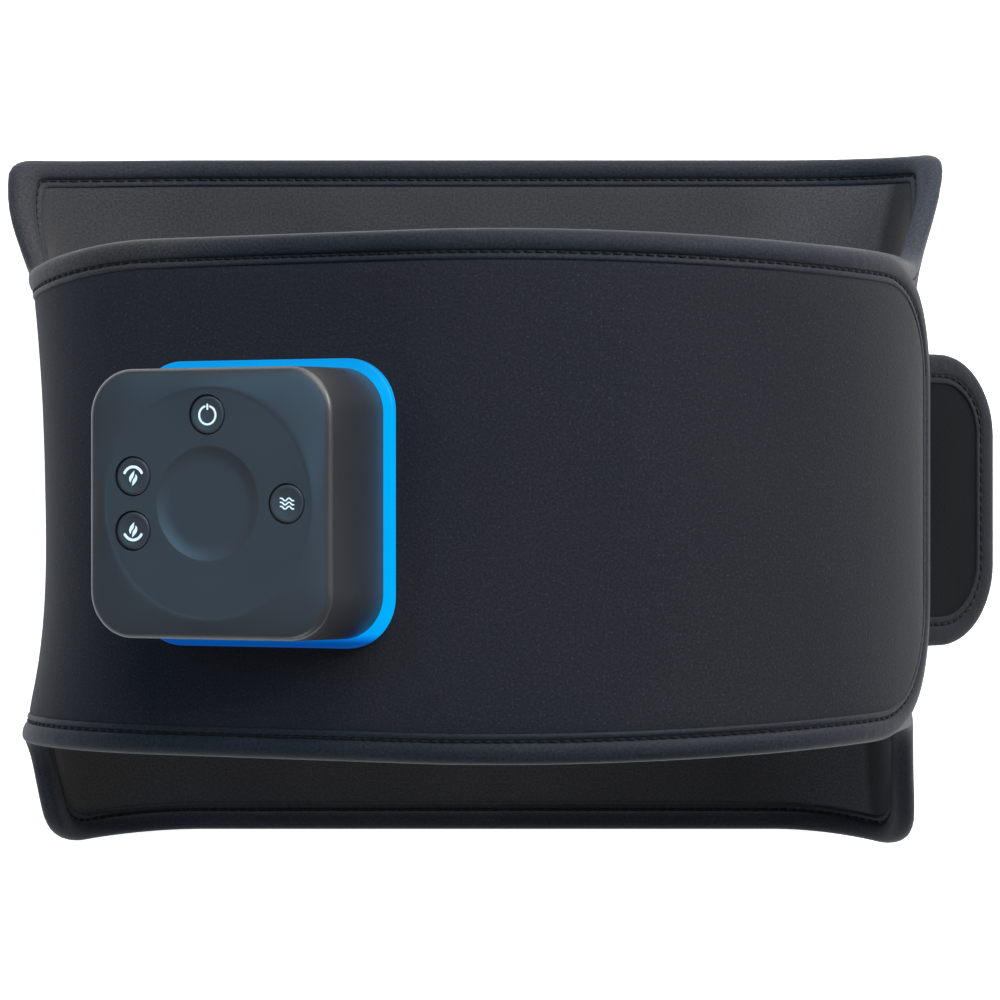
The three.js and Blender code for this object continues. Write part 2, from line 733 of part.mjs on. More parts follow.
const plate_holes = screw_places.map(([x, y]) => bar(screw_hole, ...through, x, y, 12));
plate_holes.push(bar(grommet_hole, ...through, 0, 0, 12));
const plate = cut(prism(roundedRect(plate_half, plate_half, plate_corner), plate_low, plate_high), plate_holes);
addPiece('backing_plate', plate, colours.plate, 0.6, 0, unit);
const head_high = plate_low - seat_gap;
screw_places.forEach(([x, y], i) => {
  const profile = [
    [0, head_high - screw_head_height], [screw_head_radius, head_high - screw_head_height],
    [screw_head_radius, head_high], [screw_radius, head_high], [screw_radius, screw_tip], [0, screw_tip],
  ];
  addPiece(`fixing_screw_${i + 1}`, turned(profile, 12, x, y), colours.steel, 0.3, 1, unit);
});
const grommet_low = plate_low - seat_gap;
addPiece('cable_grommet', bar(grommet_radius, grommet_low, flange_high, 0, 0, 12), colours.rubber, 0.8, 0, unit);

// Control unit: battery, circuit board, switches, key mat and charging socket
const battery_low = flange_high + seat_gap;
const battery_half = [board_half - battery_side_margin, board_half - battery_end_margin];
const battery_shape = roundedRect(...battery_half, battery_corner);
const battery = prism(battery_shape, battery_low, battery_low + battery_height, 3);
addPiece('battery', battery, colours.battery, 0.5, 0.1, unit);
addPiece('circuit_board', prism(roundedRect(board_half, board_half, board_corner), board_low, board_high, 3),
  colours.board, 0.5, 0, unit);
const switch_low = board_high + seat_gap;
const switch_high = switch_low + switch_height;
const mat_low = switch_high + seat_gap;
const mat_high = mat_low + mat_thickness;
addPiece('key_mat', prism(roundedRect(board_half, board_half, board_corner), mat_low, mat_high, 3),
  colours.rubber, 0.9, 0, unit);

// The cover: rings of a rounded square from its rim up to the crown, and back down inside
const cover_low = flange_low;
const face_rim = cover_low + cover_depth;

function coverRing(half, corner, level) {
  const ring = roundedRect(half, half, Math.min(corner, half * roundest_share));
  return ring.getPoints(cover_corner_steps).slice(0, -1)
    .map((point) => new THREE.Vector3(point.x, point.y, level));
}

function domeLevel(share) {
  return face_rim + cover_crown * (1 - Math.max(share, flat_disc_share) ** 2);
}

function coverSkin(offset) {
  const side_top = face_rim - cover_edge_round;
  const half_at = (level) => {
    return mix(cover_base_half, cover_face_half, (level - cover_low) / (face_rim - cover_low)) - offset;
  };
  const rings = [coverRing(half_at(cover_low), cover_corner - offset, cover_low)];
  for (const angle of spread(0, Math.PI / 2, 4)) {
    const pull = cover_edge_round * (1 - Math.cos(angle));
    const level = side_top - offset + cover_edge_round * Math.sin(angle);
    const rise = cover_crown * (1 - (1 - pull / cover_face_half) ** 2);
    rings.push(coverRing(half_at(side_top) - pull, cover_corner - offset - pull / 2, level + rise));
  }
  const brim = half_at(side_top) - cover_edge_round;
  for (const share of cover_ring_shares) {
    const half = brim * share;
    const level = domeLevel(half / cover_face_half) - offset;
    rings.push(coverRing(half, mix(half, cover_corner - offset, share), level));
  }
  return rings;
}

function loft(outer, inner) {
  const rings = [...inner.slice().reverse(), ...outer];
  const count = rings[0].length;
  const positions = rings.flatMap((ring) => ring.flatMap((point) => point.toArray()));
  const faces = [];
  for (let i = 0; i < rings.length - 1; i++) {
    for (let j = 0; j < count; j++) {
      const k = (j + 1) % count;
      const [a, b, c, d] = [i * count + j, i * count + k, (i + 1) * count + k, (i + 1) * count + j];
      faces.push(a, b, c, a, c, d);
    }
  }
  for (const [ring, at_end] of [[rings[0], false], [rings.at(-1), true]]) {
    const start = at_end ? (rings.length - 1) * count : 0;
    const centre = positions.length / 3;
    positions.push(0, 0, ring[0].z);
    for (let j = 0; j < count; j++) {
      const k = (j + 1) % count;
      if (at_end) faces.push(centre, start + j, start + k);
      else faces.push(centre, start + k, start + j);
    }
  }
  return closedGeometry(positions, faces);
}

const buttons = Object.entries(button_angle_share).map(([name, share]) => {
  const angle = share * 2 * Math.PI;
  return { name: `${name}_button`, x: button_circle * Math.cos(angle), y: button_circle * Math.sin(angle) };
});
const button_level = domeLevel(button_circle / cover_face_half);
const port_level = board_low - seat_gap - port_height - 2 * port_wall;
const cover_cutters = buttons.map(({ x, y }) => {
  const cutter_low = face_rim - cover_wall - cover_edge_round;
  return bar(button_radius + seat_gap, cutter_low, button_level + overrun, x, y, 24);
});
const port_cut = [port_width + 2 * port_wall + 2 * seat_gap, port_height + 2 * port_wall + 2 * seat_gap];
const port_cutter = block(port_cut[0], wall_cutter_depth, port_cut[1], 0, -cover_base_half, port_level - seat_gap);
cover_cutters.push(port_cutter);
const corner_centre = cover_base_half - cover_corner;
const pin_reach = wall_cutter_depth / 2;
const pin_hole = bar(pin_hole_radius, cover_corner - pin_reach, cover_corner + pin_reach, 0, 0, 8);
pin_hole.rotateY(Math.PI / 2).rotateZ(pin_hole_turn);
cover_cutters.push(pin_hole.translate(corner_centre, corner_centre, cover_low + pin_hole_rise));
const cover_body = loft(coverSkin(0), coverSkin(cover_wall));
addPiece('front_cover', cut(cover_body, cover_cutters), colours.cover, 0.45, 0, unit);

const stem_low = mat_high + seat_gap + button_travel;
for (const { name, x, y } of buttons) {
  const lip_high = button_level - cover_wall - cover_lip_drop;
  const lip_low = lip_high - button_lip;
  const profile = [
    [0, stem_low], [button_stem_radius, stem_low], [button_stem_radius, lip_low],
    [button_radius + button_lip, lip_low], [button_radius + button_lip, lip_high], [button_radius, lip_high],
    [button_radius, button_level - button_dip], [0, button_level - 2 * button_dip],
  ];
  addPiece(name, turned(profile, 20, x, y), colours.button, 0.4, 0, unit);
  const half = switch_side / 2;
  const tact = prism(roundedRect(half, half, half / 4), switch_low, switch_high, 1).translate(x, y, 0);
  addPiece(`${name.replace('_button', '')}_switch`, tact, colours.steel, 0.4, 0.6, unit);
}

const socket_y = -cover_base_half + cover_wall / 2;
const socket_outer = block(port_width + 2 * port_wall, port_length, port_height + 2 * port_wall, 0,
  socket_y + port_length / 2, port_level);
const socket_inner = block(port_width, port_length, port_height, 0, socket_y + port_length / 2 - port_wall,
  port_level + port_wall);
addPiece('charging_socket', cut(socket_outer, [socket_inner]), colours.steel, 0.3, 1, unit);

export default wrap;
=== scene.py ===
import math

import bmesh
import bpy
import numpy as np
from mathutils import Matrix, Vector


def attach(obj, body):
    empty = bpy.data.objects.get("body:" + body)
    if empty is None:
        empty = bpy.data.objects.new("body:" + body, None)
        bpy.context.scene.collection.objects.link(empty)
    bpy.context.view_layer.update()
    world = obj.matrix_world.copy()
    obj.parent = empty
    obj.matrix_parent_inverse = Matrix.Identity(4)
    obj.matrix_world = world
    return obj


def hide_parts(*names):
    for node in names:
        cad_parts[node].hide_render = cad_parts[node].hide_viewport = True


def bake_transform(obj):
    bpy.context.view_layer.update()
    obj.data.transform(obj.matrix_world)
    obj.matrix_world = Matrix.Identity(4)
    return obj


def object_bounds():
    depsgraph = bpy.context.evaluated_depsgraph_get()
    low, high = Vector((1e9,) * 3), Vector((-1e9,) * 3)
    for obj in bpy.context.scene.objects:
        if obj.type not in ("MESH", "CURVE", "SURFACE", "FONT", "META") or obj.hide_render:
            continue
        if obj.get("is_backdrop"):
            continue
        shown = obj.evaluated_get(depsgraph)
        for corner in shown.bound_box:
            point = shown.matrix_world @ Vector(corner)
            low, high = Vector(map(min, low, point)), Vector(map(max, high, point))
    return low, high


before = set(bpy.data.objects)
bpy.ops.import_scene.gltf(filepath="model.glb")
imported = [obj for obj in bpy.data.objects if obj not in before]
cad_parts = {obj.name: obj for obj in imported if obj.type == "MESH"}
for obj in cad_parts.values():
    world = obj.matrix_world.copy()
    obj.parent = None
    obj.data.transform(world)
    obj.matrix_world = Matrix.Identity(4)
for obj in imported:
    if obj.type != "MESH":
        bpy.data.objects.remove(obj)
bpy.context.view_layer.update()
scene = bpy.context.scene
scene.view_settings.view_transform = "Standard"


# The camera looks straight down on the closed wrap from a little over a metre,
# as in the photograph.
camera_height = 1.171
camera_data = bpy.data.cameras.new("camera")
camera_data.sensor_width = 36
camera_data.lens = 115.2
camera = bpy.data.objects.new("camera", camera_data)
camera.location = (0, 0, camera_height)
bpy.context.collection.objects.link(camera)
scene.camera = camera


# The wrap lies on a plain white table in a pale room, under a large soft lamp above its upper edge
# and a smaller one at the right. Three weak lamps tint the left, the upper edge and the lower edge.
def node_material(name):
    material = bpy.data.materials.new(name)
    material.use_nodes = True
    tree = material.node_tree
    return material, tree, tree.nodes["Principled BSDF"]


table_half = 20
table_drop = 0.0004
table_mesh = bpy.data.meshes.new("table_top")
table_mesh.from_pydata([(-table_half, -table_half, 0), (table_half, -table_half, 0),
                        (table_half, table_half, 0), (-table_half, table_half, 0)],
                       [], [(0, 1, 2, 3)])
table_top = bpy.data.objects.new("table_top", table_mesh)
table_top.location.z = -table_drop
bpy.context.collection.objects.link(table_top)
table_material, tree, shader = node_material("white_table")
shader.inputs["Base Color"].default_value = (0.86, 0.86, 0.86, 1)
shader.inputs["Roughness"].default_value = 0.9
shader.inputs["Specular IOR Level"].default_value = 0.1
shader.inputs["Emission Color"].default_value = (1, 1, 1, 1)
light_path = tree.nodes.new("ShaderNodeLightPath")
seen = light_path.outputs["Is Camera Ray"]
for other in ("Is Glossy Ray", "Is Transmission Ray"):
    either = tree.nodes.new("ShaderNodeMath")
    either.operation = "MAXIMUM"
    tree.links.new(seen, either.inputs[0])
    tree.links.new(light_path.outputs[other], either.inputs[1])
    seen = either.outputs[0]
lift = tree.nodes.new("ShaderNodeMath")
lift.operation = "MULTIPLY"
lift.inputs[1].default_value = 0.84
tree.links.new(seen, lift.inputs[0])
tree.links.new(lift.outputs[0], shader.inputs["Emission Strength"])
table_mesh.materials.append(table_material)
table_top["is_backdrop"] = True

world = bpy.data.worlds.new("pale_room")
scene.world = world
world.use_nodes = True
room = world.node_tree.nodes["Background"]
room.inputs["Color"].default_value = (0.93, 0.96, 1.0, 1)
room.inputs["Strength"].default_value = 0.17


def soft_lamp(name, place, target, side, watts, colour):
    lamp = bpy.data.lights.new(name, "AREA")
    lamp.shape = "SQUARE"
    lamp.size = side
    lamp.energy = watts
    lamp.color = colour
    holder = bpy.data.objects.new(name, lamp)
    holder.location = place
    holder.rotation_euler = (Vector(target) - Vector(place)).to_track_quat("-Z", "Y").to_euler()
    bpy.context.collection.objects.link(holder)


soft_lamp("upper_lamp", (0.05, 1.25, 1.35), (0, 0, 0.1), 1.3, 23.5, (0.97, 0.98, 1.0))
soft_lamp("right_lamp", (1.1, 0.75, 1.0), (0.05, 0, 0.1), 0.6, 24, (1.0, 0.99, 0.97))
soft_lamp("left_lamp", (-0.9, 0.38, 1.3), (-0.05, 0, 0.15), 0.5, 5, (0.22, 0.62, 1.0))
soft_lamp("low_warm_lamp", (0.3, 1.3, 0.5), (0, 0, 0.12), 0.9, 9, (1.0, 0.84, 0.66))
soft_lamp("lower_lamp", (-0.6, -1.3, 0.8), (-0.1, -0.1, 0.05), 0.6, 5, (0.9, 0.95, 1.0))


# The padded panels: foam between a knitted outer fabric and a smooth lining. One runs from
# the middle of the back round the left side to the front flap, and one round the right side.
# Sizes are millimetres along the middle of the fabric's thickness, as the wrap lies closed.
half_thickness = 3.15
left_half_width = 153
left_corner = 45
right_corner = 40
hinge_height = 66.2
shoulder = 66
unit_flat = 92
unit_tilt = math.radians(23)
front_radius = 127
front_end_heading = math.radians(-73)
right_reach = math.radians(193)
tab_thickness, play = 1.6, 0.9
right_radius = front_radius - 2 * half_thickness - tab_thickness - play
back_top, back_bottom = 124, 120
flap_top, flap_neck, flap_bottom = 85.2, 78.6, 83
right_top, right_bottom = 83, 79
flap_taper = 4.5
top_round, bottom_round, right_round = 44, 46, 30
neck_round = 16
ear_slope = math.radians(60)
ear_top_round, ear_bottom_round = 12, 25
left_drops, right_drops = (3.3, 2.8), (0.8, 4.3)
tape_width = 10.3


def walk(start, parts, distance):
    """The place and the heading after that distance along straight and curved parts."""
    x, z, heading, left = 0.0, half_thickness, start, distance
    for length, radius in parts:
        step = min(left, length)
        if radius:
            turn = step / radius
            x += radius * (math.sin(heading + turn) - math.sin(heading))
            z -= radius * (math.cos(heading + turn) - math.cos(heading))
            heading += turn
        else:
            x += step * math.cos(heading)
            z += step * math.sin(heading)
        left -= step
        if left <= 0:
            break
    return x, z, heading


left_parts = [
    (left_half_width - left_corner, 0),
    (left_corner * math.pi / 2, -left_corner),
    (hinge_height - half_thickness - left_corner, 0),
    (shoulder * (math.pi / 2 - unit_tilt), -shoulder),
    (unit_flat, 0),
    (front_radius * (unit_tilt - front_end_heading), -front_radius),
]
left_marks = np.concatenate([[0], np.cumsum([length for length, radius in left_parts])])
left_hinge, front_end = left_marks[3], left_marks[6]
arc_x, arc_z, arc_heading = walk(math.pi, left_parts, left_marks[5])
arc_x += front_radius * math.sin(arc_heading)
arc_z -= front_radius * math.cos(arc_heading)
right_parts = [
    (arc_x + right_radius - right_corner, 0),
    (right_corner * math.pi / 2, right_corner),
    (arc_z - half_thickness - right_corner, 0),
    (right_radius * (right_reach - math.pi / 2), right_radius),
]
right_marks = np.concatenate([[0], np.cumsum([length for length, radius in right_parts])])
right_hinge = right_marks[3] + right_radius * math.asin((hinge_height - arc_z) / right_radius)
right_end = right_marks[4]


def smooth(value, low, high):
    share = min(max((value - low) / (high - low), 0), 1)
    return share * share * (3 - 2 * share)


# For each side, upper and lower: the spread at the flap's edge, its power, the ear's own part,
# and where it ends.
flares = {(True, True): (8, 2.7, 6, 2), (True, False): (9, 2.6, -3, 1),
          (False, True): (6, 2.8, 1, 2), (False, False): (2, 3, -1, 2)}


def flare(s, y):
    """How far the side stands outwards there, so that its corners spread as ears."""
    on_left, far = s > 0, abs(s)
    marks = left_marks if on_left else right_marks
    hinge = left_hinge if on_left else right_hinge
    rise = smooth(far, marks[1] - tape_width, marks[2])
    fall = smooth(far, marks[3] - tape_width,
                  left_marks[4] if on_left else right_hinge + tape_width)
    spread, power, ear, furthest = flares[on_left, y > 0]
    amount = spread * min(abs(y) / (flap_top if y > 0 else flap_bottom), furthest) ** power
    lobe = rise * (1 - smooth(far, marks[2], hinge))
    lobe *= smooth(abs(y), flap_top - 2 * tape_width, back_bottom - tape_width)
    outwards = amount * rise * (1 - fall) + ear * lobe
    return -outwards if on_left else outwards


def on_wrap(s, depth, y):
    """A point on the wrap at run s and height y, that deep in the fabric (outwards positive)."""
    on_left = s >= 0
    x, z, heading = walk(math.pi if on_left else 0, left_parts if on_left else right_parts, abs(s))
    side = 1 if on_left else -1
    x += flare(s, y) - side * math.sin(heading) * depth
    z += side * math.cos(heading) * depth
    return Vector((x, y, max(z, 0))) * 0.001


def back_edge(s, back, flap, ear_round):
    """The edge's distance from the middle: high at the back, round at the ear, low at the flap."""
    far, hinge = abs(s), left_hinge if s > 0 else right_hinge
    ear_run, neck_run = ear_round * math.sin(ear_slope), neck_round * math.sin(ear_slope)
    rounds = (ear_round + neck_round) * (1 - math.cos(ear_slope))
    straight = (back - flap - rounds) / math.tan(ear_slope)
    run = far - (hinge - ear_run - neck_run - straight)
    if run <= 0:
        return back
    if run <= ear_run:
        return back - ear_round + math.sqrt(ear_round ** 2 - run ** 2)
    left = ear_run + straight + neck_run - run
    if left <= 0:
        return flap
    if left <= neck_run:
        return flap + neck_round - math.sqrt(neck_round ** 2 - left ** 2)
    return flap + neck_round * (1 - math.cos(ear_slope)) + (left - neck_run) * math.tan(ear_slope)


def ear_drop(s, end):
    marks, hinge = (left_marks, left_hinge) if s > 0 else (right_marks, right_hinge)
    rise = smooth(abs(s), marks[1], marks[2]) * (1 - smooth(abs(s), marks[2], hinge))
    return (left_drops if s > 0 else right_drops)[end] * rise


def upper_edge(s):
    edge = back_edge(s, back_top, flap_neck if s > 0 else right_top, ear_top_round) - ear_drop(s, 0)
    if s > left_hinge:
        share = smooth(s, left_hinge, left_marks[4])
        edge += (flap_top - edge) * share - flap_taper * smooth(s, left_marks[5], front_end)
    return edge


def lower_edge(s):
    flap_edge = flap_bottom if s > 0 else right_bottom
    edge = -back_edge(s, back_bottom, flap_edge, ear_bottom_round) - ear_drop(s, 1)
    return edge + (flap_taper * smooth(s, left_marks[5], front_end) if s > 0 else 0)


def outline(side, end, upper, lower, upper_round, lower_round, step, first=0.0):
    """The cut edge, out above and back below: points, ways inwards, and how many lie above."""
    count = round((end - max(upper_round, lower_round) - first) / step)
    runs = np.linspace(first, end - max(upper_round, lower_round), count + 1)
    turns = np.linspace(0, math.pi / 2, 18)[1:]

    def corner(edge, radius, sign):
        runs_round = [end - radius * (1 - math.sin(a)) for a in turns]
        return [(r, edge(side * r) - sign * radius * (1 - math.cos(a)))
                for r, a in zip(runs_round, turns)]

    tops = [(r, upper(side * r)) for r in runs] + corner(upper, upper_round, 1)
    bottoms = [(r, lower(side * r)) for r in runs] + corner(lower, lower_round, -1)
    high, low = tops[-1][1], bottoms[-1][1]
    rise = np.linspace(high, low, max(round((high - low) / step), 2) + 1)
    line = np.array(tops + [(end, y) for y in rise[1:-1]] + bottoms[::-1], float)
    ahead = np.roll(line, -1, 0) - np.roll(line, 1, 0)
    ahead[0], ahead[-1] = (1, 0), (-1, 0)
    ahead /= np.linalg.norm(ahead, axis=1)[:, None]
    inward = np.column_stack([ahead[:, 1], -ahead[:, 0]])
    return line, inward, len(tops)


def mesh_piece(name, points, faces, materials=(), uvs=None, material_index=None):
    mesh = bpy.data.meshes.new(name)
    mesh.from_pydata([tuple(p) for p in points], [], faces)
    for material in materials:
        mesh.materials.append(material)
    if material_index is not None:
        mesh.polygons.foreach_set("material_index", material_index)
    if uvs is not None:
        layer = mesh.uv_layers.new(name="cloth")
        corners = np.zeros(len(mesh.loops), np.int32)
        mesh.loops.foreach_get("vertex_index", corners)
        layer.data.foreach_set("uv", np.array(uvs, np.float32)[corners].ravel())
    shape = bmesh.new()
    shape.from_mesh(mesh)
    bmesh.ops.recalc_face_normals(shape, faces=shape.faces)
    shape.to_mesh(mesh)
    shape.free()
    mesh.polygons.foreach_set("use_smooth", [True] * len(mesh.polygons))
    mesh.set_sharp_from_angle(angle=math.radians(50))
    piece = bpy.data.objects.new(name, mesh)
    bpy.context.collection.objects.link(piece)
    return piece


def ripple(s, y):
    """Soft uneven padding: slow waves on the front flap and a few folds across the back."""
    flap = 0.35 * math.sin(s / 31 + 1.1) * math.sin(y / 27 + 0.4) + 0.2 * math.sin(s / 17 + y / 23)
    folds = 0.4 * math.sin(s / 4.6 + y / 11) * smooth(-s, 60, 95) + 0.25 * math.sin(s / 9 - y / 14)
    beside_unit = smooth(abs(s - left_marks[4] - 45), 50, 75)
    return flap * beside_unit + folds * (1 - smooth(abs(s), 105, 125))


tucked_in = 8.7
panel_columns = 56
panel_thick, panel_plump = 2.65, 0.6
edge_step = 2.6


def padded_panel(name, side, line, inward, tops, place, across, thick, plump, materials):
    """A cushion between the edges: thin under the tape, plump inside it, its inner side lined."""
    inner = line + inward * tucked_in
    upper, lower = inner[:tops], inner[::-1][:tops]
    points, uvs, faces, slots = [], [], [], []
    shares = ((1 - np.cos(np.linspace(0, math.pi, across + 1))) / 2 * 0.5
              + np.linspace(0, 1, across + 1) * 0.5)
    for sign in (1, -1):
        for top, bottom in zip(upper, lower):
            span = top[1] - bottom[1]
            for share in shares:
                s, y = bottom + (top - bottom) * share
                rim = min(share * span, (1 - share) * span, upper[-1][0] + 0.01 - s)
                depth = sign * (thick + plump * (1 - math.exp(-rim / 2)))
                depth += ripple(side * s, y) * smooth(rim, 0, 20)
                points.append(place(side * s, depth, y))
                uvs.append((s * 0.001, y * 0.001))
    columns, count = across + 1, len(upper) * (across + 1)
    for sign in range(2):
        for i in range(len(upper) - 1):
            for j in range(across):
                a = sign * count + i * columns + j
                faces.append((a, a + 1, a + columns + 1, a + columns))
                slots.append(sign)
    for i in range(len(upper) - 1):
        for j in (0, across):
            a = i * columns + j
            faces.append((a, a + columns, a + columns + count, a + count))
            slots.append(0)
    for i in (0, len(upper) - 1):
        for j in range(across):
            a = i * columns + j
            faces.append((a, a + 1, a + 1 + count, a + count))
            slots.append(0)
    return mesh_piece(name, points, faces, materials, uvs, slots)


def cloth_coordinates(tree, scale=(1, 1, 1)):
    coordinates = tree.nodes.new("ShaderNodeTexCoord")
    mapping = tree.nodes.new("ShaderNodeMapping")
    mapping.inputs["Scale"].default_value = scale
    tree.links.new(coordinates.outputs["UV"], mapping.inputs["Vector"])
    return mapping.outputs["Vector"]


def noise(tree, vector, scale, detail=2.0, roughness=0.5):
    node = tree.nodes.new("ShaderNodeTexNoise")
    node.inputs["Scale"].default_value = scale
    node.inputs["Detail"].default_value = detail
    node.inputs["Roughness"].default_value = roughness
    tree.links.new(vector, node.inputs["Vector"])
    return node.outputs["Fac"]


def ramp(tree, factor, stops):
    node = tree.nodes.new("ShaderNodeValToRGB")
    elements = node.color_ramp.elements
    while len(elements) < len(stops):
        elements.new(0.5)
    for element, (place, colour) in zip(elements, stops):
        element.position = place
        element.color = (*colour, 1)
    tree.links.new(factor, node.inputs["Fac"])
    return node.outputs["Color"]


def blended(tree, kind, factor, first, second):
    node = tree.nodes.new("ShaderNodeMix")
    node.data_type = "RGBA"
    node.blend_type = kind
    sockets = [s for s in node.inputs if s.enabled]
    for socket, value in zip(sockets, (factor, first, second)):
        if isinstance(value, bpy.types.NodeSocket):
            tree.links.new(value, socket)
        else:
            socket.default_value = value if isinstance(value, float) else (*value, 1)
    return [s for s in node.outputs if s.enabled][0]


def bump(tree, shader, height, distance, strength, below=None):
    node = tree.nodes.new("ShaderNodeBump")
    node.inputs["Distance"].default_value = distance
    node.inputs["Strength"].default_value = strength
    tree.links.new(height, node.inputs["Height"])
    if below is not None:
        tree.links.new(below, node.inputs["Normal"])
    tree.links.new(node.outputs["Normal"], shader.inputs["Normal"])
    return node.outputs["Normal"]


def painted_light_along_run(tree, cloth, painted_light_tints):
    """Painted light and shade along the cloth: a colour factor by the run in metres from the middle
    of the back.
    """
    run = tree.nodes.new("ShaderNodeSeparateXYZ")
    tree.links.new(cloth, run.inputs["Vector"])
    return ramp(tree, run.outputs["X"], painted_light_tints)


even = ((0, (1, 1, 1)), (1, (1, 1, 1)))


def knit_material(name, dark, light, fleck, fleck_from, sheen, painted_light_tints=even):
    material, tree, shader = node_material(name)
    cloth = cloth_coordinates(tree)
    tone = ramp(tree, noise(tree, cloth, 9, 3), [(0.35, dark), (0.65, light)])
    grain = ramp(tree, noise(tree, cloth, 1300, 1), [(0.34, (0.76,) * 3), (0.66, (1.24,) * 3)])
    knitted = blended(tree, "MULTIPLY", 1.0, tone, grain)
    speckle = noise(tree, cloth, 1250, 2, 0.6)
    specks = ramp(tree, speckle, [(fleck_from, (0,) * 3), (fleck_from + 0.1, (1,) * 3)])
    flecked = blended(tree, "MIX", specks, knitted, fleck)
    tinted = blended(tree, "MULTIPLY", 1.0, flecked, painted_light_along_run(tree, cloth, painted_light_tints))
    tree.links.new(tinted, shader.inputs["Base Color"])
    shader.inputs["Roughness"].default_value = 0.92
    shader.inputs["Specular IOR Level"].default_value = 0.15
    shader.inputs["Sheen Weight"].default_value = sheen
    shader.inputs["Sheen Roughness"].default_value = 0.45
    courses = tree.nodes.new("ShaderNodeTexVoronoi")
    courses.inputs["Scale"].default_value = 1
    tree.links.new(cloth_coordinates(tree, (1600, 1150, 1)), courses.inputs["Vector"])
    stitch_bump = bump(tree, shader, courses.outputs["Distance"], 0.00025, 0.22)
    bump(tree, shader, noise(tree, cloth, 260, 2), 0.0004, 0.15, stitch_bump)
    return material


outer_knit = knit_material("outer_knit", (0.0095, 0.0108, 0.0158), (0.0128, 0.0138, 0.0182),
                           (0.026, 0.029, 0.039), 0.6, 0.1)
lining_tones = ((0.0252, 0.0262, 0.0298), (0.033, 0.034, 0.0378), (0.062, 0.062, 0.066), 0.72, 0.2)
lining_knit = knit_material("lining_knit", *lining_tones)
# The right lining's tints paint light on the back's lining just before the right bend, and paint
# shade where it turns up into the right wall.
right_wall_painted_light_and_shade = [(run, (light,) * 3) for run, light in (
    (0.085, 1.0), (0.105, 1.35), (0.125, 1.6), (0.1375, 1.6), (0.139, 0.58), (0.175, 0.6),
    (0.19, 1.0))]
right_lining_painted_light_and_shade = knit_material("right_lining_painted_light_and_shade", *lining_tones, painted_light_tints=right_wall_painted_light_and_shade)

left_line, left_inward, left_tops = outline(1, front_end, upper_edge, lower_edge,
                                            top_round, bottom_round, edge_step)
right_line, right_inward, right_tops = outline(-1, right_end, upper_edge, lower_edge,
                                               right_round, right_round, edge_step)

front_panel = padded_panel("front_panel_padding", 1, left_line, left_inward, left_tops, on_wrap,
                           panel_columns, panel_thick, panel_plump, [outer_knit, lining_knit])
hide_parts("back_outer_shell", "back_foam", "back_lining",
            "front_outer_shell", "front_foam", "front_lining")
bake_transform(front_panel)

right_panel = padded_panel("right_panel_padding", -1, right_line, right_inward, right_tops, on_wrap,
                           panel_columns, panel_thick, panel_plump, [outer_knit, right_lining_painted_light_and_shade])
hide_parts("back_outer_shell", "back_foam", "back_lining",
            "right_outer_shell", "right_foam", "right_lining")
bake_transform(right_panel)


# The edge binding: a woven satin tape folded over the panels' edge and sewn through both sides.
# It is a little thicker than the padding, with a groove where the stitches pull it in.
stitch_line = 7.4
tape_side = [(9.9, 2.75), (9.75, 3.2), (9.3, 3.42), (8.7, 3.42), (8.2, 3.22), (7.85, 2.75),
             (7.0, 2.7), (6.65, 3.3), (5.95, 3.7), (4.7, 3.92), (3.2, 3.88), (1.8, 3.5),
             (0.8, 2.75), (0.2, 1.6), (0, 0.6)]
tape_profile = tape_side + [(inwards, -depth) for inwards, depth in reversed(tape_side)]


def edge_tape(name, side, line, inward, place, profile, materials):
    """The folded tape: one closed section, swept along the cut edge."""
    points, uvs, faces = [], [], []
    along = np.concatenate([[0], np.cumsum(np.linalg.norm(np.diff(line, axis=0), axis=1))])
    lengths = [math.dist(a, b) for a, b in zip(profile, profile[1:])]
    around = np.concatenate([[0], np.cumsum(lengths)])
    for point, towards, run in zip(line, inward, along):
        for (inwards, depth), turn in zip(profile, around):
            s, y = point + towards * inwards
            points.append(place(side * s, depth, y))
            uvs.append((run * 0.001, turn * 0.001))
    count = len(profile)
    for i in range(len(line) - 1):
        for j in range(count):
            k = (j + 1) % count
            faces.append((i * count + j, i * count + k, (i + 1) * count + k, (i + 1) * count + j))
    faces.append(tuple(range(count)))
    faces.append(tuple(range((len(line) - 1) * count, len(line) * count)))
    return mesh_piece(name, points, faces, materials, uvs)


def satin_material(name, dark, light, painted_light_tints=even):
    material, tree, shader = node_material(name)
    cloth = cloth_coordinates(tree)
    tone = ramp(tree, noise(tree, cloth, 14, 3), [(0.3, dark), (0.7, light)])
    threads = tree.nodes.new("ShaderNodeTexWave")
    threads.bands_direction = "DIAGONAL"
    threads.inputs["Scale"].default_value = 900
    threads.inputs["Distortion"].default_value = 1.5
    threads.inputs["Detail"].default_value = 1
    tree.links.new(cloth, threads.inputs["Vector"])
    shade = ramp(tree, noise(tree, cloth, 1100, 2, 0.7), [(0.36, (0.6,) * 3), (0.66, (1.45,) * 3)])
    woven = blended(tree, "MULTIPLY", 1.0, tone, shade)
    tinted = blended(tree, "MULTIPLY", 1.0, woven, painted_light_along_run(tree, cloth, painted_light_tints))
    tree.links.new(tinted, shader.inputs["Base Color"])
    shader.inputs["Roughness"].default_value = 0.55
    shader.inputs["Specular IOR Level"].default_value = 0.14
    shader.inputs["Sheen Weight"].default_value = 0.05
    shader.inputs["Sheen Roughness"].default_value = 0.4
    weave_bump = bump(tree, shader, threads.outputs["Fac"], 0.00015, 0.35)
    bump(tree, shader, noise(tree, cloth, 210, 3), 0.0006, 0.45, weave_bump)
    return material


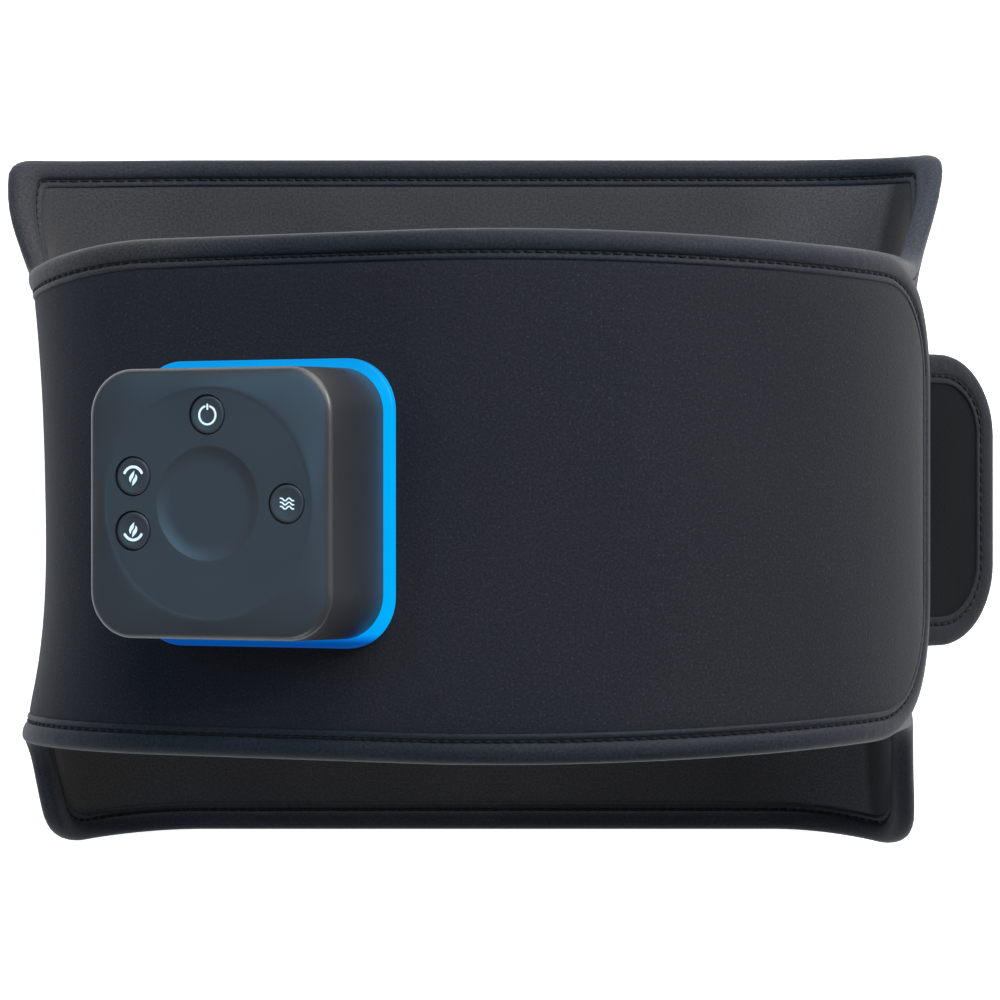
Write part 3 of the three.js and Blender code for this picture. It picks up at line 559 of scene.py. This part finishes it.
satin_tones = ((0.0098, 0.0125, 0.0192), (0.0138, 0.0165, 0.024))
# The left tape's tints are painted light: a painted highlight round the upper left ear, and painted
# warm light on the front flap's upper left edge.
left_satin_painted_light = satin_material("left_satin_painted_light", *satin_tones, painted_light_tints=[
    (0.15, (1, 1, 1)), (0.168, (1.9, 1.7, 1.4)), (0.21, (1.9, 1.7, 1.4)), (0.235, (1.4, 1.25, 1.1)),
    (0.255, (2.6, 2.1, 1.45)), (0.3, (2.4, 1.95, 1.4)), (0.345, (1, 1, 1))])
# The right tape's tints paint a highlight round the upper right ear.
right_satin_painted_light = satin_material("right_satin_painted_light", *satin_tones, painted_light_tints=[
    (0.14, (1, 1, 1)), (0.155, (1.9, 1.9, 1.8)), (0.2, (1.9, 1.9, 1.8)), (0.225, (1, 1, 1))])
left_tape = edge_tape("left_edge_tape", 1, left_line, left_inward, on_wrap, tape_profile,
                      [left_satin_painted_light])
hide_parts("front_binding", "back_binding_upper", "back_binding_lower")
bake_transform(left_tape)
right_tape = edge_tape("right_edge_tape", -1, right_line, right_inward, on_wrap, tape_profile,
                       [right_satin_painted_light])
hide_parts("right_binding", "back_binding_upper", "back_binding_lower")
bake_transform(right_tape)


# The stitching: one row of black sewing thread down each side of the tape, through tape and panel.
# The thread's tension pulls each stitch down into the tape's groove.
stitch_pitch = 3.4
stitch_length = 3.0
thread_radius = 0.5
stitch_level = 2.75
thread_path = ((0, -0.7), (0.12, -0.15), (0.5, 0.1), (0.88, -0.15), (1, -0.7))
thread_sides = 6
thread_material, tree, shader = node_material("black_thread")
cloth = cloth_coordinates(tree)
twist = noise(tree, cloth, 900, 2)
tree.links.new(ramp(tree, twist, [(0.3, (0.002, 0.0022, 0.003)), (0.7, (0.005, 0.0055, 0.007))]),
               shader.inputs["Base Color"])
shader.inputs["Roughness"].default_value = 0.7
shader.inputs["Specular IOR Level"].default_value = 0.2
bump(tree, shader, twist, 0.0002, 0.5)


def stitches(name, side, line, inward, place, inset, depth, materials):
    """Short threads along the line at that inset, on both sides of the tape."""
    row = line + inward * inset
    along = np.concatenate([[0], np.cumsum(np.linalg.norm(np.diff(row, axis=0), axis=1))])
    points, uvs, faces = [], [], []
    for face in (1, -1):
        for start in np.arange(0.4, along[-1] - stitch_length, stitch_pitch):
            base = len(points)
            for share, sink in thread_path:
                run = start + share * stitch_length
                s, y = (np.interp(run, along, row[:, k]) for k in (0, 1))
                s_on, y_on = (np.interp(run + 0.5, along, row[:, k]) for k in (0, 1))
                centre = place(side * s, face * (depth + sink), y)
                up = (place(side * s, face * (depth + sink + 0.5), y) - centre).normalized()
                if up.length < 0.5:
                    up = Vector((0, 0, -1))
                ahead = (place(side * s_on, face * (depth + sink), y_on) - centre).normalized()
                across = ahead.cross(up).normalized()
                for k in range(thread_sides):
                    angle = k * 2 * math.pi / thread_sides
                    aside = up * math.sin(angle) + across * math.cos(angle)
                    point = centre + aside * thread_radius * 0.001
                    point.z = max(point.z, 0)
                    points.append(point)
                    uvs.append((run * 0.001, k * 0.0003))
            for i in range(len(thread_path) - 1):
                for k in range(thread_sides):
                    a = base + i * thread_sides + k
                    b = base + i * thread_sides + (k + 1) % thread_sides
                    faces.append((a, b, b + thread_sides, a + thread_sides))
            last = base + (len(thread_path) - 1) * thread_sides
            faces.append(tuple(range(base, base + thread_sides)))
            faces.append(tuple(range(last, last + thread_sides)))
    return mesh_piece(name, points, faces, materials, uvs)


left_stitches = stitches("left_stitches", 1, left_line, left_inward, on_wrap,
                         stitch_line, stitch_level, [thread_material])
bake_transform(left_stitches)
right_stitches = stitches("right_stitches", -1, right_line, right_inward, on_wrap,
                          stitch_line, stitch_level, [thread_material])
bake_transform(right_stitches)


# The heating pads lie on the foam and the four vibration motors sit in pockets of it,
# out of sight inside the back. A flat ribbon of wires runs from them up the left side
# to the control unit.
def plain_material(name, first, second, scale, roughness, metallic, bump_height=0.0001):
    material, tree, shader = node_material(name)
    coordinates = tree.nodes.new("ShaderNodeTexCoord")
    grain = noise(tree, coordinates.outputs["Object"], scale, 3)
    tree.links.new(ramp(tree, grain, [(0.3, first), (0.7, second)]), shader.inputs["Base Color"])
    shader.inputs["Roughness"].default_value = roughness
    shader.inputs["Metallic"].default_value = metallic
    bump(tree, shader, grain, bump_height, 0.3)
    return material


def finish_nodes(material, *names):
    for name in names:
        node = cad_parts[name]
        node.data.materials.clear()
        node.data.materials.append(material)


heater_film, tree, shader = node_material("heater_film")
coordinates = tree.nodes.new("ShaderNodeTexCoord")
tracks = tree.nodes.new("ShaderNodeTexWave")
tracks.bands_direction = "Y"
tracks.inputs["Scale"].default_value = 60
tree.links.new(coordinates.outputs["Object"], tracks.inputs["Vector"])
track_tones = [(0.45, (0.28, 0.11, 0.02)), (0.55, (0.55, 0.34, 0.16))]
tree.links.new(ramp(tree, tracks.outputs["Fac"], track_tones), shader.inputs["Base Color"])
shader.inputs["Roughness"].default_value = 0.4
finish_nodes(heater_film, "heating_pad_left", "heating_pad_right")
pressed_steel = plain_material("pressed_steel", (0.42, 0.43, 0.45), (0.56, 0.57, 0.59),
                               400, 0.32, 1.0)
finish_nodes(pressed_steel, *[f"motor_can_{i}" for i in range(1, 5)])
tungsten = plain_material("tungsten", (0.20, 0.20, 0.21), (0.30, 0.30, 0.31), 500, 0.45, 1.0)
finish_nodes(tungsten, *[f"motor_weight_{i}" for i in range(1, 5)])

ribbon_skin = plain_material("ribbon_skin", (0.006, 0.006, 0.007), (0.012, 0.012, 0.013),
                             300, 0.6, 0.0)
ribbon_start, unit_shift, plate_half = 67, 3.5, 36.6
ribbon_runs = np.linspace(ribbon_start, left_marks[4] + unit_flat / 2 - unit_shift - plate_half, 90)
ribbon_points, ribbon_uvs, ribbon_faces = [], [], []
ribbon_ring = [(y + 0.42 * math.cos(a), 0.95 + 0.6 * math.sin(a)) for y, a in
               [(6.5, -1.2), (6.5, 0), (6.5, 1.2)] + [(y, math.pi / 2) for y in range(5, -6, -2)]
               + [(-6.5, math.pi - 1.2), (-6.5, math.pi), (-6.5, math.pi + 1.2)]
               + [(y, -math.pi / 2) for y in range(-5, 6, 2)]]
for run in ribbon_runs:
    for k, (y, depth) in enumerate(ribbon_ring):
        ribbon_points.append(on_wrap(run, depth, y))
        ribbon_uvs.append((run * 0.001, k * 0.001))
ring_count = len(ribbon_ring)
for i in range(len(ribbon_runs) - 1):
    for k in range(ring_count):
        j = (k + 1) % ring_count
        a, b = i * ring_count, (i + 1) * ring_count
        ribbon_faces.append((a + k, a + j, b + j, b + k))
ribbon_faces.append(tuple(range(ring_count)))
last = (len(ribbon_runs) - 1) * ring_count
ribbon_faces.append(tuple(range(last, last + ring_count)))
ribbon = mesh_piece("wire_ribbon", ribbon_points, ribbon_faces, [ribbon_skin], ribbon_uvs)
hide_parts("back_loom", "front_loom")
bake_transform(ribbon)


# Hook and loop: a stiff patch of plastic hooks inside the front flap's end, and a soft looped field
# on the right flap under it. Both lie on the cloth, and they hold the wrap closed.
def pile_material(name, first, second, scale, strength):
    material, tree, shader = node_material(name)
    coordinates = tree.nodes.new("ShaderNodeTexCoord")
    pile = tree.nodes.new("ShaderNodeTexVoronoi")
    pile.inputs["Scale"].default_value = scale
    tree.links.new(coordinates.outputs["Object"], pile.inputs["Vector"])
    shade = ramp(tree, pile.outputs["Distance"], [(0.1, second), (0.6, first)])
    tree.links.new(shade, shader.inputs["Base Color"])
    shader.inputs["Roughness"].default_value = 0.95
    shader.inputs["Sheen Weight"].default_value = 0.4
    bump(tree, shader, pile.outputs["Distance"], 0.0006, strength)
    return material


hook_plastic = pile_material("hook_plastic", (0.006, 0.006, 0.007), (0.02, 0.02, 0.022), 900, 0.9)
finish_nodes(hook_plastic, "front_hook_patch")
loop_pile = pile_material("loop_pile", (0.014, 0.015, 0.018), (0.035, 0.036, 0.042), 500, 0.7)
finish_nodes(loop_pile, "right_loop_field")


# The pull tab: a D of black knitted cloth, thinly padded and bound with the same kind of tape.
# It is sewn under the front flap's end, and the hand pulls on it to open the wrap.
tab_origin = Vector((140.41, 0, 81.51))
tab_turn = math.radians(42)
tab_length = 43
tab_half = 50
tab_round = 28
tab_root, tab_root_run, tab_root_lift = -1.2, 3, 0.7
tab_columns, tab_thick, tab_plump = 30, 0.85, 0.35
tab_stitch_level = 1.5


def on_tab(x, depth, y):
    """A point of the tab, x from its seam; its root rises into the front flap's tape."""
    level = depth - tab_thickness / 2 + tab_root_lift * (1 - smooth(x, tab_root, tab_root_run))
    return (tab_origin + Vector((x * math.cos(tab_turn) + level * math.sin(tab_turn), y,
                                 -x * math.sin(tab_turn) + level * math.cos(tab_turn)))) * 0.001


tab_line, tab_inward, tab_tops = outline(1, tab_length, lambda s: tab_half, lambda s: -tab_half,
                                         tab_round, tab_round, 2, first=tab_root)
# The tab's knit is coloured darker than the flap's, partly as its own black cloth and partly as
# painted shade.
tab_knit = knit_material("tab_knit", (0.0025, 0.003, 0.0045), (0.0035, 0.004, 0.0055),
                         (0.012, 0.014, 0.018), 0.66, 0.0)
tab_panel = padded_panel("pull_tab_padding", 1, tab_line, tab_inward, tab_tops, on_tab,
                         tab_columns, tab_thick, tab_plump, [tab_knit, lining_knit])
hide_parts("pull_tab_field")
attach(tab_panel, "pull_tab")
tab_profile = [(inwards, depth * 0.5) for inwards, depth in tape_profile]
# The tab's tape is a darker copy of the edge tape: painted shade.
tab_satin_painted_shade = satin_material("tab_satin_painted_shade", (0.0042, 0.0058, 0.0105), (0.006, 0.0078, 0.0132))
tab_tape = edge_tape("pull_tab_tape", 1, tab_line, tab_inward, on_tab, tab_profile, [tab_satin_painted_shade])
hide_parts("pull_tab_binding")
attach(tab_tape, "pull_tab")
tab_stitches = stitches("pull_tab_stitches", 1, tab_line, tab_inward, on_tab,
                        stitch_line, tab_stitch_level, [thread_material])
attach(tab_stitches, "pull_tab")


# The control unit's frame: its own third axis leaves the fabric,
# and its origin lies on the outer fabric.
unit_origin = Vector((-74.90, -1.10, 146.46))
unit_across = Vector((math.cos(unit_tilt), 0, math.sin(unit_tilt)))
unit_out = Vector((-math.sin(unit_tilt), 0, math.cos(unit_tilt)))


def on_unit(x, y, level):
    return (unit_origin + unit_across * x + Vector((0, y, 0)) + unit_out * level) * 0.001


def squared_radius(angle, half, corner):
    """How far a rounded square's edge is from its centre in that direction."""
    c, s = abs(math.cos(angle)), abs(math.sin(angle))
    flat = half - corner
    if half * s / max(c, 1e-9) <= flat:
        return half / c
    if half * c / max(s, 1e-9) <= flat:
        return half / s
    along = flat * (c + s)
    return along + math.sqrt(max(along * along - 2 * flat * flat + corner * corner, 0))


def stacked_rings(name, rings, materials, closed=True):
    """One skin over rings of points; its ends get a fan each, or are joined to each other."""
    count = len(rings[0])
    points = [point for ring in rings for point in ring]
    faces = []
    for i in range(len(rings) - 1 if closed else len(rings)):
        for k in range(count):
            j = (k + 1) % count
            a, b = i * count, ((i + 1) % len(rings)) * count
            faces.append((a + k, a + j, b + j, b + k))
    if closed:
        for ring, start in ((rings[0], 0), (rings[-1], (len(rings) - 1) * count)):
            centre = len(points)
            points.append(sum(ring, Vector()) / count)
            faces += [(centre, start + k, start + (k + 1) % count) for k in range(count)]
    return mesh_piece(name, points, faces, materials)


# The cover: a moulded plastic box with a domed face, a wide flat disc in it and a finger dish
# in the middle. It is one shell, with holes for the keys, a pin and the charging socket.
cover_low = 3.1
face_rim = 39.1
base_half, face_half = 42.9, 42.1
cover_corner = 14.5
cover_crown = 3.7
disc_radius = 36
dish_radius, dish_slope, dish_depth = 17.8, 4.8, 0.55
disc_hollow, disc_step = 0.5, 0.035
cover_wall = 2.2
edge_soft = 1.6
around = [k * 2 * math.pi / 240 + 0.003 for k in range(240)]
disc_share = 0.85
disc_level = face_rim + cover_crown * (1 - disc_share ** 2)


def squared_ring(half, corner, level):
    radii = [squared_radius(a, half, corner) for a in around]
    return [on_unit(r * math.cos(a), r * math.sin(a), level) for r, a in zip(radii, around)]


def face_height(r):
    """The face's level on the disc, that far from its middle."""
    hollow = disc_hollow * (1 - (r / disc_radius) ** 2)
    bowl = min(max((dish_radius - r) / dish_slope, 0), 1)
    return disc_level - hollow - dish_depth * (1 - (1 - bowl) ** 2)


def cover_rings(wall):
    """The cover's skin, that far inside its outer face: up its side and in to its middle."""
    rings = [squared_ring(base_half - wall, cover_corner - wall, cover_low)]
    for level in (8, 20, 30):
        half = base_half + (face_half - base_half) * (level - cover_low) / (face_rim - cover_low)
        rings.append(squared_ring(half - wall, cover_corner - wall, level))
    for k in range(7):
        turn = k * math.pi / 12
        half = face_half - wall - edge_soft * (1 - math.cos(turn))
        rise = cover_crown * (1 - (1 - edge_soft * (1 - math.cos(turn)) / face_half) ** 2)
        level = face_rim - edge_soft - wall + edge_soft * math.sin(turn) + rise
        corner = cover_corner - wall - edge_soft * (1 - math.cos(turn)) / 2
        rings.append(squared_ring(half, corner, level))
    rim_half = face_half - wall - edge_soft
    rim_level = face_rim - wall + cover_crown * (1 - (1 - edge_soft / face_half) ** 2)
    for k in range(1, 9):
        share = k / 8
        ring = []
        for a in around:
            outer = squared_radius(a, rim_half, cover_corner - wall - edge_soft / 2)
            r = outer + (disc_radius - outer) * share
            level = rim_level + (disc_level - wall - rim_level) * (1 - (1 - share) ** 1.6)
            ring.append(on_unit(r * math.cos(a), r * math.sin(a), level))
        rings.append(ring)
    radii = [35.6, 35, 33.5, 31, 28, 25, 22, 19.8, 18.6, 18.1, 17.9, 17.75]
    radii += list(np.linspace(17.5, 12.8, 12)) + [11.2, 9.5, 7.5, 5, 2.5, 1]
    for r in radii:
        level = face_height(r) - wall - (disc_step if r < disc_radius else 0)
        rings.append([on_unit(r * math.cos(a), r * math.sin(a), level) for a in around])
    return rings


def moulded_material(name, base, fine, roughness):
    material, tree, shader = node_material(name)
    coordinates = tree.nodes.new("ShaderNodeTexCoord")
    place = coordinates.outputs["Object"]
    darker, lighter = (tuple(c * share for c in base) for share in (0.93, 1.07))
    cloud = ramp(tree, noise(tree, place, 18, 2), [(0.3, darker), (0.7, lighter)])
    tree.links.new(cloud, shader.inputs["Base Color"])
    smoother, rougher = (roughness - 0.05,) * 3, (roughness + 0.05,) * 3
    worn = ramp(tree, noise(tree, place, 40, 4), [(0.3, smoother), (0.7, rougher)])
    tree.links.new(worn, shader.inputs["Roughness"])
    shader.inputs["Specular IOR Level"].default_value = 0.7
    bump(tree, shader, noise(tree, place, fine, 2), 0.00006, 0.35)
    return material


cover_plastic = moulded_material("slate_plastic", (0.021, 0.0232, 0.0275), 2600, 0.4)
cover_outer, cover_inner = cover_rings(0), cover_rings(cover_wall)
cover_points = [p for ring in cover_inner[::-1] + cover_outer for p in ring]
ring_size = len(around)
cover_faces = []
total = 2 * len(cover_outer)
for i in range(total - 1):
    for k in range(ring_size):
        j = (k + 1) % ring_size
        a, b = i * ring_size, (i + 1) * ring_size
        cover_faces.append((a + k, a + j, b + j, b + k))
cover_faces.append(tuple(range(ring_size)))
cover_faces.append(tuple(range((total - 1) * ring_size, total * ring_size)))
cover = mesh_piece("unit_cover", cover_points, cover_faces, [cover_plastic])

button_distance = 27.5
buttons = {"power": (0, button_distance), "heat_up": (-26.15, 8.50), "heat_down": (-26.15, -8.50),
           "vibration": (button_distance, 0)}
key_hole_radius = 6.3
pin_hole_radius, pin_hole_rise = 0.8, 11


def round_ring(x, y, radius, level):
    return [on_unit(x + radius * math.cos(k * math.pi / 32), y + radius * math.sin(k * math.pi / 32),
                    level) for k in range(64)]


cutters = []
for x, y in buttons.values():
    rings = [round_ring(x, y, key_hole_radius, level) for level in (face_rim - 6, disc_level + 4)]
    cutters.append(stacked_rings("cutter", rings, []))
pin_turn, pin_centre = math.radians(65), base_half - cover_corner
pin_rings = []
for r in (cover_corner - 5, cover_corner + 5):
    ring = []
    for k in range(16):
        aside = pin_hole_radius * math.cos(k * math.pi / 8)
        level = cover_low + pin_hole_rise + pin_hole_radius * math.sin(k * math.pi / 8)
        x = pin_centre + r * math.cos(pin_turn) - aside * math.sin(pin_turn)
        y = pin_centre + r * math.sin(pin_turn) + aside * math.cos(pin_turn)
        ring.append(on_unit(x, y, level))
    pin_rings.append(ring)
cutters.append(stacked_rings("cutter", pin_rings, []))
port_low, port_width, port_height = 17.6, 10.9, 4.9
port_rings = []
for y in (-46, -36):
    ring = []
    for k in range(32):
        angle = (k + 0.5) * math.pi / 16
        shift = (port_width - port_height) / 2 * (1 if math.cos(angle) > 0 else -1)
        ring.append(on_unit(shift + port_height / 2 * math.cos(angle), y,
                            port_low + port_height / 2 + port_height / 2 * math.sin(angle)))
    port_rings.append(ring)
cutters.append(stacked_rings("cutter", port_rings, []))
for cutter in cutters:
    hole = cover.modifiers.new("hole", "BOOLEAN")
    hole.operation = "DIFFERENCE"
    hole.solver = "EXACT"
    hole.object = cutter
bpy.context.view_layer.update()
cut_cover = cover.evaluated_get(bpy.context.evaluated_depsgraph_get())
cut_mesh = bpy.data.meshes.new_from_object(cut_cover)
cover.modifiers.clear()
cover.data = cut_mesh
for cutter in cutters:
    bpy.data.objects.remove(cutter)
cover.data.set_sharp_from_angle(angle=math.radians(38))
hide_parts("front_cover")
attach(cover, "front_flap")


# The keys: round plastic caps that slide in the cover's holes,
# with pictograms printed in pale blue.
key_plastic = moulded_material("key_plastic", (0.0205, 0.0228, 0.027), 2600, 0.43)
key_radius = 6.0
key_shaft = [(0.01, 30.5), (2, 30.5), (2, 36.6), (7, 36.6), (7, 37.2), (key_radius, 37.2)]
key_top = [(key_radius, -0.75), (key_radius - 0.12, -0.45), (key_radius - 0.4, -0.25),
           (key_radius - 0.8, -0.2), (4.6, -0.28), (3.2, -0.36), (1.6, -0.42), (0.01, -0.45)]
print_with_painted_glow, tree, shader = node_material("pale_print_painted_glow")
coordinates = tree.nodes.new("ShaderNodeTexCoord")
ink_grain = noise(tree, coordinates.outputs["Object"], 700, 2)
ink = ramp(tree, ink_grain, [(0.3, (0.66, 0.80, 0.90)), (0.7, (0.72, 0.86, 0.95))])
tree.links.new(ink, shader.inputs["Base Color"])
# The print also glows faintly: painted light that keeps the pictograms bright.
tree.links.new(ink, shader.inputs["Emission Color"])
shader.inputs["Emission Strength"].default_value = 0.22
shader.inputs["Roughness"].default_value = 0.5


def path_stroke(path, width):
    """A flat stroke with round ends along a path, as one outline."""
    path = np.array(path, float)
    ahead = np.gradient(path, axis=0)
    ahead /= np.linalg.norm(ahead, axis=1)[:, None]
    left = np.column_stack([-ahead[:, 1], ahead[:, 0]]) * width / 2

    def round_end(end, forward, side_way):
        return [end + side_way * math.cos(angle) + forward * width / 2 * math.sin(angle)
                for angle in np.linspace(0, math.pi, 7)[1:-1]]

    return (list(path + left) + round_end(path[-1], ahead[-1], left[-1]) + list((path - left)[::-1])
            + round_end(path[0], -ahead[0], -left[0]))


def arc_stroke(cx, cy, radius, start, end, width, steps=24):
    path = [(cx + radius * math.cos(a), cy + radius * math.sin(a))
            for a in np.radians(np.linspace(start, end, steps))]
    return path_stroke(path, width)


flame_lobe = [(0.38, 2.35), (-0.26, 1.8), (-0.86, 1.18), (-1.3, 0.44), (-1.4, -0.22),
              (-1.28, -0.79), (-0.86, -1.3), (-0.9, -0.9), (-0.66, -0.38), (-0.2, 0.14),
              (0.14, 0.72), (0.24, 1.35)]


def flame(cy, turn):
    """One of the two lobes of a flame; the other is the same, turned half round."""
    return [(x * turn, cy + y * turn) for x, y in flame_lobe]


def wave_path(y):
    return [(x, y + 0.42 * math.sin(x * 2.35)) for x in np.linspace(-2.25, 2.25, 36)]


pictograms = {
    "power": [arc_stroke(0, -0.2, 2.85, 109, 431, 0.62, 40),
              path_stroke([(0, 1.7), (0, 2.4), (0, 3.1)], 0.55)],
    "heat_up": [arc_stroke(0, -0.46, 3.4, 27, 153, 0.85), flame(-0.66, 1), flame(-0.66, -1)],
    "heat_down": [arc_stroke(0, 0.53, 3.4, 210, 330, 0.85), flame(0.3, 1), flame(0.3, -1)],
    "vibration": [path_stroke(wave_path(y), 0.4) for y in (1.25, 0, -1.25)],
}
top = face_height(button_distance)
key_profile = key_shaft + [(r, top + level) for r, level in key_top]
print_level, print_depth = top - 0.22, 0.35
for name, (x, y) in buttons.items():
    rings = [round_ring(x, y, r, level) for r, level in key_profile]
    key = stacked_rings(f"{name}_key", rings, [key_plastic])
    key.data.set_sharp_from_angle(angle=math.radians(40))
    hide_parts(f"{name}_button")
    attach(key, f"{name}_key")
    shape = bmesh.new()
    for stroke in pictograms[name]:
        high = [shape.verts.new(on_unit(x + px, y + py, print_level)) for px, py in stroke]
        low = [shape.verts.new(on_unit(x + px, y + py, print_level - print_depth))
               for px, py in stroke]
        faces = [shape.faces.new(high), shape.faces.new(low[::-1])]
        for k in range(len(high)):
            j = (k + 1) % len(high)
            shape.faces.new((high[k], low[k], low[j], high[j]))
        bmesh.ops.triangulate(shape, faces=faces)
    print_mesh = bpy.data.meshes.new(f"{name}_print")
    bmesh.ops.recalc_face_normals(shape, faces=shape.faces)
    shape.to_mesh(print_mesh)
    shape.free()
    print_mesh.materials.append(print_with_painted_glow)
    printed = bpy.data.objects.new(f"{name}_print", print_mesh)
    bpy.context.collection.objects.link(printed)
    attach(printed, f"{name}_key")


# The light ring: one moulded light pipe of clear blue plastic round the unit's foot.
# It lies between the cover and the fabric, and the light board inside it lights it.
ring_half, ring_corner, ring_band = 45.9, 16.5, 5.5
ring_low, ring_high, ring_soft = 0.3, 2.8, 0.8
ring_rings = []
section = [(0, ring_low)]
section += [(ring_soft * (1 - math.cos(a)), ring_high - ring_soft + ring_soft * math.sin(a))
            for a in np.linspace(0, math.pi / 2, 6)]
section += [(ring_band - inwards, level) for inwards, level in reversed(section)]
for inwards, level in section:
    ring_rings.append(squared_ring(ring_half - inwards, ring_corner - inwards, level))
glow_material, tree, shader = node_material("blue_light_pipe")
coordinates = tree.nodes.new("ShaderNodeTexCoord")
split = tree.nodes.new("ShaderNodeSeparateXYZ")
tree.links.new(coordinates.outputs["Object"], split.inputs[0])
height_share = tree.nodes.new("ShaderNodeMapRange")
height_share.inputs["From Min"].default_value = -0.048
height_share.inputs["From Max"].default_value = 0.046
tree.links.new(split.outputs["Y"], height_share.inputs["Value"])
glow = ramp(tree, height_share.outputs["Result"], [
    (0, (0.0, 0.05, 0.28)), (0.03, (0.0, 0.075, 0.34)), (0.045, (0.0, 0.2, 0.75)),
    (0.06, (0.0, 0.36, 0.92)), (0.12, (0.0, 0.43, 0.98)), (0.9, (0.0, 0.43, 0.98)),
    (0.96, (0.0, 0.34, 0.84)), (1, (0.0, 0.3, 0.78))])
patches = noise(tree, coordinates.outputs["Object"], 30, 2)
uneven = ramp(tree, patches, [(0.3, (0.94,) * 3), (0.7, (1.0,) * 3)])
lit = blended(tree, "MULTIPLY", 1.0, glow, uneven)
shade = blended(tree, "MULTIPLY", 1.0, lit, (0.03, 0.03, 0.03))
tree.links.new(shade, shader.inputs["Base Color"])
tree.links.new(lit, shader.inputs["Emission Color"])
shader.inputs["Emission Strength"].default_value = 1
shader.inputs["Roughness"].default_value = 0.35
shader.inputs["Specular IOR Level"].default_value = 0.08
light_ring = stacked_rings("light_ring_pipe", ring_rings, [glow_material], closed=False)
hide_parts("light_ring")
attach(light_ring, "front_flap")


# Inside the unit, out of sight: base, plate, screws, boards, battery, key mat and switches,
# and the charging socket in its lower wall.
finish_nodes(moulded_material("black_plastic", (0.012, 0.012, 0.013), 1800, 0.6),
             "module_base", "backing_plate")
finish_nodes(pressed_steel, *[f"fixing_screw_{i}" for i in range(1, 5)], "charging_socket")
green_board = plain_material("green_board", (0.010, 0.060, 0.022), (0.016, 0.085, 0.032),
                             250, 0.4, 0.0)
finish_nodes(green_board, "circuit_board", "light_board")
battery_wrap = plain_material("battery_wrap", (0.16, 0.22, 0.30), (0.20, 0.27, 0.36),
                              120, 0.35, 0.1)
finish_nodes(battery_wrap, "battery")
silicone = plain_material("silicone", (0.010, 0.010, 0.011), (0.016, 0.016, 0.018), 500, 0.7, 0.0)
finish_nodes(silicone, "key_mat", "cable_grommet")
switch_metal = plain_material("switch_metal", (0.40, 0.40, 0.41), (0.52, 0.52, 0.53),
                              600, 0.35, 0.9)
finish_nodes(switch_metal, *[f"{name}_switch" for name in buttons])

low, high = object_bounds()
